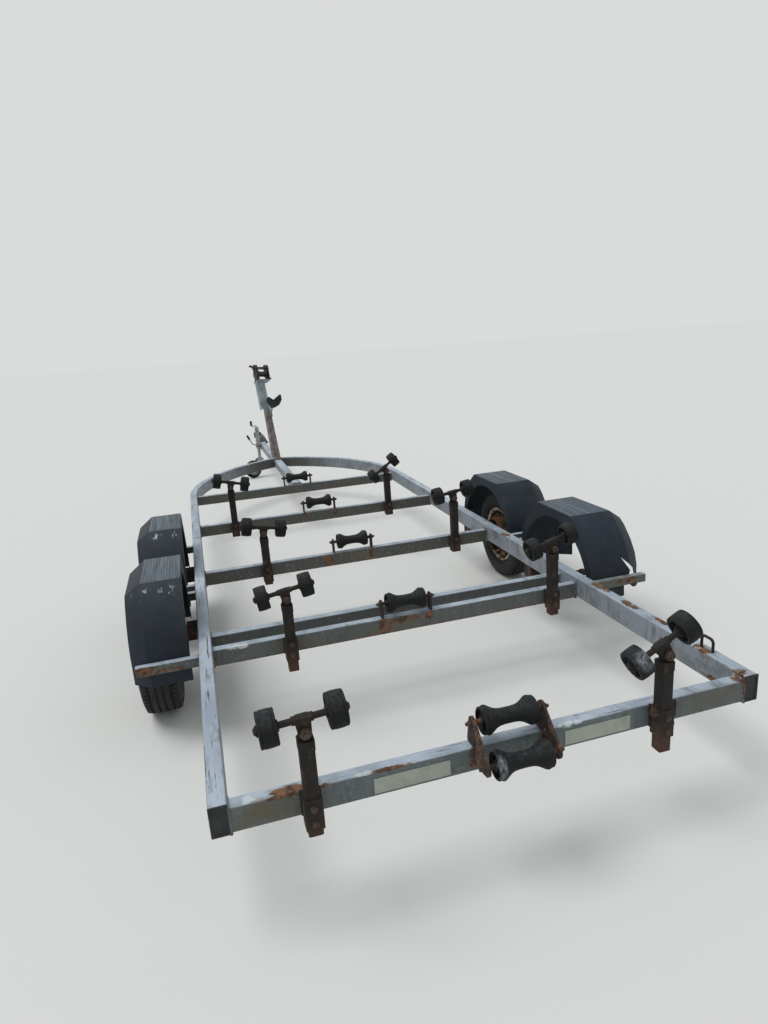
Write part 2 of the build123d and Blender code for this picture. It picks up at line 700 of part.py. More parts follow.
def mudguard_outline():
    half = MUDGUARD_HALF_LENGTH
    top = RAIL_BOTTOM + MUDGUARD_TOP
    low = RAIL_BOTTOM + MUDGUARD_BOTTOM - 2 * MUDGUARD_DROP
    right = [
        (MUDGUARD_FLAT_HALF, top), (MUDGUARD_FLAT_HALF + 54, top - 40), (half - 60, top - 105),
        (half - 20, top - 172), (half, top - 240), (half, low),
    ]
    left = [(-y, z) for y, z in reversed(right)]
    return make_face(Polyline(*(right + left), close=True))


def shrunk(face, amount):
    return offset(face, amount=-amount, kind=Kind.INTERSECTION)


def mudguard_form(face, inner_x, flat_x, outer_x):
    form = extrude(Plane.YZ.offset(inner_x) * face, amount=flat_x - inner_x)
    lip = Plane.YZ.offset(outer_x) * shrunk(face, MUDGUARD_DROP)
    return form + loft([Plane.YZ.offset(flat_x) * face, lip], ruled=True)


def mudguard(inner_x, flat_x, outer_x):
    wall = MUDGUARD_THICKNESS
    half = MUDGUARD_HALF_LENGTH
    radius = MUDGUARD_FLANGE_RADIUS
    bottom = RAIL_BOTTOM + MUDGUARD_BOTTOM
    outline = mudguard_outline()
    shell = mudguard_form(outline, inner_x, flat_x, outer_x)
    shell -= mudguard_form(shrunk(outline, wall), inner_x + wall, flat_x, outer_x)
    shell -= rod_x(radius, inner_x, flat_x - radius / 4, 0, TYRE_RADIUS)
    shell -= block(inner_x, flat_x, -radius, radius, bottom - 1, TYRE_RADIUS)
    return shell - block(inner_x, outer_x, -half, half, bottom - 3 * MUDGUARD_DROP, bottom)


def break_off(guard):
    rear = -MUDGUARD_HALF_LENGTH
    outline = [(x, RAIL_BOTTOM + height) for x, height in BREAK]
    return guard - plate_y(outline, rear - 5, rear + BREAK_DEPTH)


def mudguards():
    guards = {}
    for end, station in zip(("rear", "front"), AXLE_STATIONS):
        for name, span, side in (("left", MUDGUARD_LEFT, -1), ("right", MUDGUARD_RIGHT, 1)):
            guard = mudguard(*span)
            if (end, name) == ("rear", "right"):
                guard = break_off(guard)
            placed = beside_rail(guard, station + MUDGUARD_AHEAD, side, 0)
            guards["mudguard_" + end + "_" + name] = [placed]
    return guards


def mudguard_bars():
    starts = []
    for station in AXLE_STATIONS:
        centre = station + MUDGUARD_AHEAD
        starts.append(centre - MUDGUARD_HALF_LENGTH - BAR_DEPTH)
        starts.append(centre + MUDGUARD_HALF_LENGTH)
    pieces = []
    for start, lift in zip(starts, BAR_LIFTS):
        z0 = RAIL_BOTTOM + lift
        for side, length in ((-1, BAR_LENGTH_LEFT), (1, BAR_LENGTH_RIGHT)):
            bar = tube_bar(0, length, 0, BAR_DEPTH, z0, z0 + BAR_HEIGHT, Axis.X, TUBE_CORNER - 2)
            pieces.append(beside_rail(bar, start, side, 0))
    return pieces


# Winch post

def post_frame():
    base = Pos(0, WINCH_POST_STATION, RAIL_BOTTOM + DRAWBAR_SIZE)
    return base * Rot(-WINCH_POST_LEAN, -WINCH_POST_SIDE_LEAN, 0) * Rot(0, 0, WINCH_POST_TURN)


def winch_post():
    low = Pos(0, 0, -30) * Rectangle(WINCH_POST_FOOT, WINCH_POST_FOOT)
    high = Pos(0, 0, WINCH_POST_LENGTH) * Rectangle(WINCH_POST_HEAD, WINCH_POST_HEAD)
    post = loft([low, high], ruled=True)
    left = BRACKET_CENTRE - BRACKET_WIDTH / 2
    right = BRACKET_CENTRE + BRACKET_WIDTH / 2
    back = WINCH_POST_HEAD / 2
    start = BRACKET_START
    end = WINCH_POST_LENGTH
    thick = BRACKET_THICKNESS
    post += block(left, right, -back - thick, -back + 2, start, end)
    post += block(left, left + thick, -back - thick, back, start, end)
    base = WINCH_CENTRE - WINCH_WIDTH / 2
    post += block(left, base + WINCH_WIDTH - 4, -WINCH_DEPTH / 2, WINCH_DEPTH / 2, end - thick, end)
    post += bow_stop_arm()
    bar = DRAWBAR_SIZE / 2
    top = RAIL_BOTTOM + bar * 2
    y = WINCH_POST_STATION
    foot = block(-bar - 6, bar + 6, y - 55, y + 60, top - 56, top + 8)
    inside = block(-bar, bar, y - 200, y + 200, RAIL_BOTTOM, top)
    return post_frame() * post + foot - inside


def bow_stop_arm():
    near = BOW_STOP_NEAR
    low, high = BOW_ARM_FOOT
    top = BOW_ARM_TOP
    x0, x1 = BOW_ARM_X
    tip = -near + SEAT_GAP
    outline = [(-15, low), (-15, top - 6), (tip, top), (tip, BOW_ARM_TIP_LOW), (-near / 2, low + 20)]
    arm = plate_x(outline, x0, x1)
    foot = block(x0 - 2, x1 + 16, -40, -20, low, high)
    return arm + foot


def winch():
    left = WINCH_CENTRE - WINCH_WIDTH / 2
    right = WINCH_CENTRE + WINCH_WIDTH / 2
    z0 = WINCH_POST_LENGTH + SEAT_GAP
    crest = z0 + WINCH_HEIGHT
    shaft_z = z0 + 75
    crank_z = z0 + 129
    side = [(-42, z0 + 8, 8), (42, z0 + 8, 8), (30, crest - 26, 26), (-26, crest - 44, 24)]
    body = lug_x(side, left, left + 5) + lug_x(side, right - 5, right)
    body += block(left, right, -WINCH_DEPTH / 2, WINCH_DEPTH / 2, z0, z0 + 5)
    body += rod_x(WINCH_DRUM_RADIUS, left, right, 4, shaft_z)
    body += rod_x(WINCH_FLANGE_RADIUS, left + 14, left + 17, 4, shaft_z)
    body += rod_x(WINCH_FLANGE_RADIUS, right - 17, right - 14, 4, shaft_z)
    body += rod_x(WINCH_FLANGE_RADIUS + 4, left - 9, left - 3, 4, shaft_z)
    body += rod_x(9, left - 12, left, 4, shaft_z)
    body += rod_x(7, left - 24, right + 8, 0, crank_z)
    body += rod_x(6, left - 3, right + 3, 30, crest - 26)
    body += rod_x(5, left - 38, left + 8, -26, z0 + 95)
    body += lug_x([(0, crank_z, 12), (30, crank_z + 35, 9)], left - 24, left - 18)
    body += rod_x(9, left - 44, left - 18, 30, crank_z + 35)
    return post_frame() * body


def bow_stop():
    block_v = plate_y(BOW_STOP, -BOW_STOP_FAR, -BOW_STOP_NEAR)
    block_v = fillet(block_v.edges().filter_by(Axis.Y), BOW_STOP_CORNER)
    return post_frame() * block_v


# Jockey wheel

def jockey_tube():
    z0, z1 = JOCKEY_CLAMP
    side = -DRAWBAR_SIZE / 2 - JOCKEY_X
    bottom = JOCKEY_TUBE_BOTTOM
    top = JOCKEY_TUBE_TOP
    tube = rod_z(JOCKEY_TUBE_RADIUS, bottom, top, 0, 0)
    tube += rod_z(JOCKEY_TUBE_RADIUS + 3, top - 10, top, 0, 0)
    clamp = rod_z(JOCKEY_TUBE_RADIUS + 7, z0, z1, 0, 0)
    clamp += block(0, side, -34, 34, z0, z1)
    clamp += block(-12, 12, -JOCKEY_TUBE_RADIUS - 24, JOCKEY_TUBE_RADIUS + 24, z0 + 8, z1 - 8)
    crank = bent_rod([(x, 0, z) for x, z in JOCKEY_CRANK], 10, JOCKEY_ROD_RADIUS)
    grip_x, grip_top = JOCKEY_CRANK[-1]
    crank += rod_z(GRIP_RADIUS, grip_top - CRANK_GRIP_LENGTH, grip_top + 2, grip_x, 0)
    route = [Vector(x, 0, z) for x, z in JOCKEY_HANDLE]
    handle = bent_rod(route, 14, JOCKEY_ROD_RADIUS)
    along = route[-1] - route[-2]
    grip_start = route[-1] - along * JOCKEY_GRIP_SHARE
    handle += rod_between(grip_start, route[-1] + along.normalized() * 2, GRIP_RADIUS - 1)
    unit = tube + clamp + crank + handle
    unit -= rod_z(JOCKEY_LEG_RADIUS + RUNNING_FIT, bottom, top - 6, 0, 0)
    return Pos(JOCKEY_X, JOCKEY_STATION, 0) * unit


def jockey_leg():
    x = JOCKEY_X
    y = JOCKEY_STATION
    shoulder = JOCKEY_CROWN_TOP + SEAT_GAP
    leg = rod_z(JOCKEY_LEG_RADIUS, shoulder, JOCKEY_LEG_TOP, x, y)
    return leg + rod_z(JOCKEY_SWIVEL_RADIUS, JOCKEY_CROWN_TOP - JOCKEY_CROWN_THICKNESS + 1, shoulder, x, y)


def jockey_frame():
    return Pos(JOCKEY_X, JOCKEY_STATION, 0) * Rot(0, 0, JOCKEY_SWIVEL_ANGLE)


def jockey_fork():
    inner = JOCKEY_WHEEL_WIDTH / 2 + JOCKEY_FORK_GAP
    outer = inner + JOCKEY_FORK_PLATE
    top = JOCKEY_CROWN_TOP
    under = top - JOCKEY_CROWN_THICKNESS
    trail = JOCKEY_TRAIL
    axle_z = JOCKEY_WHEEL_RADIUS
    crown = block(-28, 30, -outer, outer, under, top)
    outline = [(-26, top), (30, top), (trail + 14, axle_z + 14), (trail + 14, axle_z - 8),
               (trail, axle_z - 16), (trail - 14, axle_z - 8), (-26, under - 12)]
    face = make_face(Polyline(*outline, close=True))
    for y in (-inner, outer):
        crown += extrude(Plane.XZ.offset(-y) * face, amount=JOCKEY_FORK_PLATE)
    crown += rod_y(JOCKEY_AXLE_RADIUS, -outer - 5, outer + 5, trail, axle_z)
    crown -= rod_z(JOCKEY_SWIVEL_RADIUS + RUNNING_FIT, under, top, 0, 0)
    return jockey_frame() * crown


def jockey_wheel():
    half = JOCKEY_WHEEL_WIDTH / 2
    radius = JOCKEY_WHEEL_RADIUS
    bore = JOCKEY_AXLE_RADIUS + RUNNING_FIT
    points = [
        (-half, bore), (-half, 24), (-half + 12, 28), (-half + 12, radius - 34), (-half, radius - 28),
        (-half, radius - 12), (-half + 10, radius - 1), (-half + 16, radius), (half - 16, radius),
        (half - 10, radius - 1), (half, radius - 12), (half, radius - 28), (half - 12, radius - 34),
        (half - 12, 28), (half, 24), (half, bore),
    ]
    turned = Rot(0, 0, 90) * ring_x(points, 0)
    return jockey_frame() * Pos(JOCKEY_TRAIL, 0, JOCKEY_WHEEL_RADIUS) * turned


# Blank strips

def strips():
    pieces = []
    z0 = RAIL_BOTTOM + STRIP_BOTTOM
    for centre, width, height in STRIPS:
        x0 = centre - width / 2
        pieces.append(block(x0, x0 + width, -STRIP_THICKNESS, 0, z0, z0 + height))
    return pieces


# All nodes

def build():
    nodes = {
        "side_rails": side_rails(),
        "tie_loop": [tie_loop()],
        "crossmembers": crossmembers(),
        "drawbar": [drawbar()],
        "coupling": [coupling()],
        "roller_posts": roller_posts(),
        "keel_brackets": keel_brackets(),
        "rear_cradle": [rear_cradle()],
        "mudguard_bars": mudguard_bars(),
        "suspension_units": suspension_units(),
        "winch_post": [winch_post()],
        "winch": [winch()],
        "bow_stop": [bow_stop()],
        "jockey_tube": [jockey_tube()],
        "jockey_leg": [jockey_leg()],
        "jockey_fork": [jockey_fork()],
        "jockey_wheel": [jockey_wheel()],
        "blank_strips": strips(),
    }
    nodes.update(mudguards())
    for post in POSTS:
        nodes["rocker_" + post[0]] = [rocker(post)]
        nodes["rollers_" + post[0]] = roller_pair(post)
    for name, x, y, z in keel_axles():
        nodes[name] = [keel_roller(x, y, z)]
    wheels = (("rear_left", 0, -1), ("front_left", 1, -1), ("front_right", 1, 1))
    for name, axle, side in wheels:
        station = AXLE_STATIONS[axle]
        nodes["tyre_" + name] = [beside_rail(tyre(), station, side, TYRE_RADIUS)]
        nodes["wheel_" + name] = [beside_rail(road_wheel(), station, side, TYRE_RADIUS)]
    return nodes


def write_parts(nodes):
    solids = [solid for shapes in nodes.values() for shape in shapes for solid in shape.solids()]
    box = Compound(children=solids).bounding_box()
    centre = box.center()
    shift = Pos(-centre.X, -centre.Y, -box.min.Z)
    os.makedirs("parts", exist_ok=True)
    for name, shapes in nodes.items():
        pieces = [shift * solid for shape in shapes for solid in shape.solids()]
        part = pieces[0] if len(pieces) == 1 else Compound(children=pieces)
        part.label = name
        export_step(part, "parts/" + name + ".step")
    print("centre moved by", -centre.X, -centre.Y, -box.min.Z)
    print("size", box.size.X, box.size.Y, box.size.Z)


write_parts(build())
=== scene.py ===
# A twin-axle boat trailer, weathered and short of one wheel, dressed around its CAD model.
# Metres in the CAD's own frame: X to the right, Y towards the coupling, Z up from the floor.

import json
import math

import bpy
from mathutils import Matrix, Vector

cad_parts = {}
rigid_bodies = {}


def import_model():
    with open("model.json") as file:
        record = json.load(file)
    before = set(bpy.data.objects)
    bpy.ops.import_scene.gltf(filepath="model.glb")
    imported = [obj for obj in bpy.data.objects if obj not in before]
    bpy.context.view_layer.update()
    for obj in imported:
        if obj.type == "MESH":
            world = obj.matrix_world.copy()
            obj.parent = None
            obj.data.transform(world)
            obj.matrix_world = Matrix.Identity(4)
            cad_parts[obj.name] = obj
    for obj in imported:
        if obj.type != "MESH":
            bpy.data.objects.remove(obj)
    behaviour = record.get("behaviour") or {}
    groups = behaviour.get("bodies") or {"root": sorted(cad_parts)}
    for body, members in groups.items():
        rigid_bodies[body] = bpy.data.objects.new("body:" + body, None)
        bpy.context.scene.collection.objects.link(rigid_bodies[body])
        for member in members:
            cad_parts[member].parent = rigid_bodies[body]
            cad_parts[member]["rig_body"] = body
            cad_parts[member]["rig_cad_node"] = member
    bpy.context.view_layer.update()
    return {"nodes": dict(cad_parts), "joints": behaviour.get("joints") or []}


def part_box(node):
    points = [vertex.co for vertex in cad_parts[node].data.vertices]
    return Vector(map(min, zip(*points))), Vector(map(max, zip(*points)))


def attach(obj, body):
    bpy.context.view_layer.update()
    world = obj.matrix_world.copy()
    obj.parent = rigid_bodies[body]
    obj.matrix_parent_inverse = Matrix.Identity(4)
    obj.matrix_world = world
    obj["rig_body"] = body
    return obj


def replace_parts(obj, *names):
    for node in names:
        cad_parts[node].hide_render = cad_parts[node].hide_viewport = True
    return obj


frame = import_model()
cad = frame["nodes"]


# View and light
# The photograph was taken at eye level behind the left rear corner, with a wide lens turned right,
# tipped down and a little rolled. The studio is a pale floor under a soft sky.

rails_low, rails_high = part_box("side_rails")
centre_x = (rails_low.x + rails_high.x) / 2
stern_y = rails_low.y
camera_offset = Vector((-0.7506, -1.4905, 1.5059))
camera_yaw = math.radians(15.492)
camera_pitch = math.radians(15.111)
camera_roll = math.radians(-3.989)
camera_lens = 30.98
sensor_width = 36.0
far_limit = 200.0

ahead = Vector((math.sin(camera_yaw), math.cos(camera_yaw), 0))
across = Vector((math.cos(camera_yaw), -math.sin(camera_yaw), 0))
up = Vector((0, 0, 1))
line_of_sight = ahead * math.cos(camera_pitch) - up * math.sin(camera_pitch)
tipped_up = up * math.cos(camera_pitch) + ahead * math.sin(camera_pitch)
camera_right = across * math.cos(camera_roll) + tipped_up * math.sin(camera_roll)
camera_up = tipped_up * math.cos(camera_roll) - across * math.sin(camera_roll)

bpy.ops.object.select_all(action="DESELECT")
bpy.ops.object.camera_add()
camera = bpy.context.object
camera.name = "camera"
camera.data.lens = camera_lens
camera.data.sensor_width = sensor_width
camera.data.sensor_fit = "HORIZONTAL"
camera.data.clip_end = far_limit
turn = Matrix((camera_right, camera_up, -line_of_sight)).transposed().to_4x4()
camera.matrix_world = Matrix.Translation(Vector((centre_x, stern_y, 0)) + camera_offset) @ turn
bpy.context.scene.camera = camera
bpy.context.scene.view_settings.view_transform = "Standard"


def linear(code):
    """An sRGB hex colour as Blender's linear one."""
    channels = [int(code[i:i + 2], 16) / 255 for i in (1, 3, 5)]
    return [c / 12.92 if c <= 0.04045 else ((c + 0.055) / 1.055) ** 2.4 for c in channels] + [1.0]


def node(tree, kind, inputs=None, **settings):
    """One shader node with its settings, its values and its links."""
    made = tree.nodes.new(kind)
    for name, value in settings.items():
        setattr(made, name, value)
    for socket, value in (inputs or {}).items():
        if isinstance(value, bpy.types.NodeSocket):
            tree.links.new(value, made.inputs[socket])
        else:
            made.inputs[socket].default_value = linear(value) if isinstance(value, str) else value
    return made


def maths(tree, operation, *values):
    """The result of a Math node, kept between 0 and 1."""
    return node(tree, "ShaderNodeMath", dict(enumerate(values)), operation=operation, use_clamp=True).outputs[0]


def material_named(name):
    """A new material with its tree and its surface shader."""
    made = bpy.data.materials.new(name)
    made.use_nodes = True
    return made, made.node_tree, made.node_tree.nodes["Principled BSDF"]


def painted_floor():
    """Matt painted studio floor: it takes the trailer's shadow and nothing else."""
    made, tree, surface = material_named("matt_studio_floor")
    surface.inputs["Base Color"].default_value = linear("#d6d7d4")
    surface.inputs["Roughness"].default_value = 0.95
    surface.inputs["Specular IOR Level"].default_value = 0.1
    return made


floor_size = 120.0
bpy.ops.object.select_all(action="DESELECT")
bpy.ops.mesh.primitive_plane_add(size=floor_size)
floor = bpy.context.object
floor.name = "studio_floor"
floor.data.materials.append(painted_floor())

sky_strength = 0.62
sun_strength = 1.55
sun_softness = math.radians(35)
sun_from = Vector((-0.45, 0.1, 1.0))
sun_distance = 8

world = bpy.data.worlds.new("studio_sky")
world.use_nodes = True
bpy.context.scene.world = world
sky_tree = world.node_tree
sky_tree.nodes.clear()
rays = node(sky_tree, "ShaderNodeLightPath").outputs
seen = maths(sky_tree, "MAXIMUM", rays["Is Camera Ray"], rays["Is Glossy Ray"])
seen = maths(sky_tree, "MAXIMUM", seen, rays["Is Transmission Ray"])
lighting = node(sky_tree, "ShaderNodeBackground", {"Color": "#f4f7fa", "Strength": sky_strength})
backdrop = node(sky_tree, "ShaderNodeBackground", {"Color": "#dadcdb", "Strength": 1.0})
sky = node(sky_tree, "ShaderNodeMixShader", {0: seen, 1: lighting.outputs[0], 2: backdrop.outputs[0]})
node(sky_tree, "ShaderNodeOutputWorld", {"Surface": sky.outputs[0]})

bpy.ops.object.light_add(type="SUN", location=sun_from * sun_distance)
sun = bpy.context.object
sun.name = "soft_sun"
sun.rotation_euler = sun_from.to_track_quat("Z", "Y").to_euler()
sun.data.energy = sun_strength
sun.data.angle = sun_softness


# Frame of square tube
# Two side rails bent in to the nose, six crossmembers, the drawbar and the mudguard bars, welded
# from square steel tube. The old blue-grey paint is chalked pale on top and rusting through; painted light
# makes the tops paler still and painted shade darkens the end faces.

def ranged(tree, value, zero, one):
    """A mask that goes from 0 to 1 as a value goes from one number to another."""
    return node(tree, "ShaderNodeMapRange", {"Value": value, "From Min": zero, "From Max": one}).outputs[0]


def patches(tree, size_mm, low, high, stretch=(1, 1, 1), shift=0.0):
    """A mask of soft-edged patches about size_mm across: 0 below low and 1 above high."""
    place = node(tree, "ShaderNodeTexCoord")
    moved = node(tree, "ShaderNodeMapping", {"Vector": place.outputs["Object"], "Scale": stretch,
                                             "Location": (shift, shift, shift)})
    noise = node(tree, "ShaderNodeTexNoise", {"Vector": moved.outputs[0], "Scale": 1000 / size_mm,
                                              "Detail": 5.0, "Roughness": 0.6})
    return ranged(tree, noise.outputs[0], low, high)


def facing_up(tree, low, high):
    """A mask of the faces that look up."""
    shape = node(tree, "ShaderNodeNewGeometry")
    parts = node(tree, "ShaderNodeSeparateXYZ", {0: shape.outputs["Normal"]})
    return ranged(tree, parts.outputs["Z"], low, high)


def along_axis(tree, axis, zero, one):
    """A mask that goes from 0 at the first place to 1 at the second, in metres along an axis."""
    place = node(tree, "ShaderNodeTexCoord")
    parts = node(tree, "ShaderNodeSeparateXYZ", {0: place.outputs["Object"]})
    return ranged(tree, parts.outputs[axis], zero, one)


def near_spots(tree, spots):
    """A mask that is 1 in the middle of each (middle, reach) and fades to 0 at its reach."""
    place = node(tree, "ShaderNodeTexCoord")
    nearest = 0.0
    for middle, reach in spots:
        inverse = Vector([1 / length for length in reach])
        scaled = node(tree, "ShaderNodeVectorMath", {0: place.outputs["Object"], 1: inverse,
                                                     2: -middle * inverse}, operation="MULTIPLY_ADD")
        away = node(tree, "ShaderNodeVectorMath", {0: scaled.outputs[0]}, operation="LENGTH")
        nearest = maths(tree, "MAXIMUM", nearest, ranged(tree, away.outputs["Value"], 1.0, 0.3))
    return nearest


def layered(tree, colour, *coats):
    """A colour under coats, each of them a mask and the colour that it brings where it is 1."""
    # Sockets 0, 6 and 7 are a Mix node's share and its two colours.
    for mask, coat in coats:
        colour = node(tree, "ShaderNodeMix", {0: mask, 6: colour, 7: coat}, data_type="RGBA").outputs[2]
    return colour


def overlap(tree, *masks):
    """Where all of these masks lie; a plain number among them thins the rest."""
    shared = masks[-1]
    for mask in reversed(masks[:-1]):
        shared = maths(tree, "MULTIPLY", mask, shared)
    return shared


def ragged_spots(tree, spots, size_mm):
    """Placed spots with ragged edges, size_mm across."""
    raggedness = maths(tree, "ADD", patches(tree, size_mm, 0.3, 0.7, shift=1.0), 0.3)
    return ranged(tree, overlap(tree, near_spots(tree, spots), raggedness), 0.35, 0.55)


def rust_colour(tree):
    """Rust runs from dark brown scale to orange powder."""
    return layered(tree, "#41332a", (patches(tree, 18, 0.4, 0.62, shift=3.0), "#7c5a42"))


def coated(tree, surface, colour, rust=None, **figures):
    """The surface's colour and named figures, each a number, or its clean and its rusty value."""
    tree.links.new(colour, surface.inputs["Base Color"])
    for socket, figure in figures.items():
        if rust is None:
            surface.inputs[socket].default_value = figure
        else:
            clean, rusty = figure
            change = node(tree, "ShaderNodeMapRange", {"Value": rust, "To Min": clean, "To Max": rusty})
            tree.links.new(change.outputs[0], surface.inputs[socket])


def roughened(tree, surface, height, depth_mm):
    """Bump from a height mask, depth_mm deep."""
    bump = node(tree, "ShaderNodeBump", {"Height": height, "Distance": depth_mm / 1000, "Strength": 1.0})
    tree.links.new(bump.outputs[0], surface.inputs["Normal"])


def chalked_paint_with_painted_light(name, rust_low, rust_spots=(), stain_spots=(), pale_spots=(), scratched=(1.4, 0.06, 1)):
    """Brushed enamel on mild steel, sun-chalked: pale dusty tops, duller sides, rust at the spots; tops and
    sides lightened by painted light, end faces darkened by painted shade.
    """
    made, tree, surface = material_named(name)
    shape = node(tree, "ShaderNodeNewGeometry")
    parts = node(tree, "ShaderNodeSeparateXYZ", {0: shape.outputs["Normal"]})
    flank_painted_light_mask = ranged(tree, maths(tree, "ABSOLUTE", parts.outputs["X"]), 0.6, 0.8)
    upward = facing_up(tree, 0.5, 0.9)
    upright = maths(tree, "SUBTRACT", 1.0, upward)
    # Painted shade: the end faces are dark, and darker still from 0.3 m to 1.6 m ahead of the stern.
    face = layered(tree, "#4d5757", (patches(tree, 260, 0.35, 0.65), "#636d6f"),
                   (along_axis(tree, "Y", stern_y + 0.3, stern_y + 1.6), "#4c4c48"))
    # Painted light: the flanks are lighter than the end faces and the tops lighter still, over the tops' real
    # chalk.
    flank_paint_painted_light = layered(tree, "#767d85", (patches(tree, 200, 0.35, 0.65), "#858c94"))
    top = layered(tree, "#8b98a4", (patches(tree, 90, 0.35, 0.65, stretch=(1, 0.3, 1)), "#a9b5c1"))

    grime = patches(tree, 45, 0.55, 0.7, stretch=(1, 0.35, 0.5), shift=7.0)
    run_down = patches(tree, 24, 0.5, 0.66, stretch=(1, 1, 0.3), shift=13.0)
    worn_through = patches(tree, 11, 0.6, 0.66, shift=17.0)
    stains = overlap(tree, near_spots(tree, stain_spots), patches(tree, 60, 0.3, 0.6))
    scratches = overlap(tree, patches(tree, 9, 0.6, 0.64, stretch=scratched, shift=11.0), upward)
    chips = patches(tree, 12, 0.69, 0.72, stretch=(0.5, 0.4, 1), shift=15.0)
    marks = maths(tree, "MAXIMUM", scratches, chips)
    # The bars' undersides lie between these two heights.
    edge_rust = overlap(tree, along_axis(tree, "Z", 0.308, 0.296), patches(tree, 50, 0.44, 0.52, shift=19.0))
    rust = maths(tree, "MAXIMUM", ragged_spots(tree, rust_spots, 30),
                 patches(tree, 90, rust_low, rust_low + 0.03, shift=5.0))

    colour = layered(tree, face, (flank_painted_light_mask, flank_paint_painted_light), (upward, top),
                     (overlap(tree, grime, 0.7), "#4e5553"),
                     (overlap(tree, run_down, upright, 0.5), "#454239"),
                     (overlap(tree, worn_through, 0.5), "#8e9798"), (stains, "#5a5443"),
                     (ragged_spots(tree, pale_spots, 20), "#b9c1c5"), (marks, "#4a4b48"),
                     (edge_rust, rust_colour(tree)), (rust, rust_colour(tree)))
    coated(tree, surface, colour, rust, Roughness=(0.55, 0.95))
    roughened(tree, surface, maths(tree, "ADD", overlap(tree, patches(tree, 5, 0.3, 0.7), 0.25), rust), 0.5)
    return made


def on_frame(x_mm, y_mm, z_mm):
    """A place on the frame, in millimetres from the centre line, the stern and the floor."""
    return Vector((centre_x + x_mm / 1000, stern_y + y_mm / 1000, z_mm / 1000))


def spots_from(rows):
    """Spots from rows of place and reach along X, Y and Z, in millimetres."""
    return [(on_frame(*row[:3]), Vector(row[3:]) / 1000) for row in rows]


# x, y, z, then reach along each
rust_rows = [
    (-615, 0, 374, 150, 20, 14), (-640, 18, 376, 85, 26, 8), (-365, 0, 375, 95, 18, 9),
    (-122, 0, 345, 34, 30, 60), (92, 0, 350, 24, 25, 50), (805, 22, 380, 60, 50, 22),
    (798, 115, 314, 20, 100, 18), (-106, 955, 325, 46, 20, 85), (-20, 955, 345, 130, 15, 26),
    (95, 955, 345, 32, 20, 42), (-140, 1896, 325, 48, 20, 60), (100, 1896, 340, 28, 20, 44),
    (-105, 2850, 345, 28, 20, 40), (105, 2850, 345, 28, 20, 40), (832, 820, 390, 32, 100, 12),
    (828, 610, 390, 30, 80, 12), (836, 430, 390, 24, 90, 12), (812, 200, 390, 34, 60, 12),
    (815, 1690, 390, 34, 70, 12), (820, 1442, 390, 26, 60, 12), (-985, 944, 322, 190, 20, 22),
    (-1060, 944, 332, 110, 20, 46), (1060, 944, 335, 100, 20, 28), (-800, 970, 330, 14, 30, 44),
    (800, 970, 330, 14, 30, 44), (800, 1915, 330, 16, 30, 44), (0, 5030, 350, 90, 60, 60),
    (-846, 6, 345, 16, 40, 56), (846, 6, 345, 16, 40, 56), (-800, 20, 338, 16, 30, 46),
]
stain_rows = [(-700, 0, 338, 190, 30, 60), (-60, 955, 320, 170, 20, 50), (60, 1896, 325, 120, 20, 45),
              (680, 0, 335, 150, 30, 60), (1010, 960, 336, 190, 40, 60), (-480, 955, 320, 130, 20, 40)]
pale_rows = [(180, 4, 374, 60, 18, 14), (-700, 962, 358, 70, 30, 14), (-442, 6, 376, 40, 20, 8),
             (-748, 8, 376, 34, 40, 6)]
spots = [spots_from(rows) for rows in (rust_rows, stain_rows, pale_rows)]
frame_paint = chalked_paint_with_painted_light("chalked_blue_grey_enamel_painted_light", 0.7, *spots)
crossbar_paint = chalked_paint_with_painted_light("chalked_crossbar_enamel_painted_light", 0.7, *spots, scratched=(0.06, 1.4, 1))


def refinished(finish, *names):
    """CAD nodes whose shapes are right stay, and get a finish."""
    for name in names:
        cad[name].data.materials[0] = finish


refinished(frame_paint, "side_rails", "drawbar")
refinished(crossbar_paint, "crossmembers", "mudguard_bars")


# Plastic rail caps
# Black polyethylene plugs that close the rails' open rear ends, pushed in by hand. Each has a
# thin flange over the tube's end and a shallow pocket in its middle.

def moulded_polyethylene():
    """Moulded polyethylene: soft black, a little greyed by the sun, with a fine grain."""
    made, tree, surface = material_named("moulded_polyethylene")
    colour = layered(tree, "#161718", (patches(tree, 30, 0.45, 0.7), "#2c2e30"))
    coated(tree, surface, colour, Roughness=0.6)
    roughened(tree, surface, patches(tree, 3, 0.3, 0.7), 0.1)
    return made


def only(piece):
    """This piece alone is selected, and it is the active one."""
    bpy.ops.object.select_all(action="DESELECT")
    piece.select_set(True)
    bpy.context.view_layer.objects.active = piece


def placed_mesh():
    """The new primitive, with its place and turn put into its mesh."""
    bpy.ops.object.transform_apply(location=True, rotation=True, scale=True)
    return bpy.context.object


def rounded(piece, width, steps=2, limit=30):
    """Edges sharper than the limit are rounded, and the piece is shaded by angle."""
    only(piece)
    edge = piece.modifiers.new("edge", "BEVEL")
    edge.width = width
    edge.segments = steps
    edge.limit_method = "ANGLE"
    edge.angle_limit = math.radians(limit)
    bpy.ops.object.modifier_apply(modifier=edge.name)
    bpy.ops.object.shade_smooth_by_angle(angle=math.radians(limit))
    return piece


def joined(pieces):
    """Several pieces made into one."""
    only(pieces[0])
    for piece in pieces[1:]:
        piece.select_set(True)
    bpy.ops.object.join()
    return pieces[0]


def dressed(piece, name, finish, body):
    """A finished piece gets its name, finish and body."""
    piece.name = name
    piece.data.materials.clear()
    piece.data.materials.append(finish)
    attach(piece, body)
    return piece


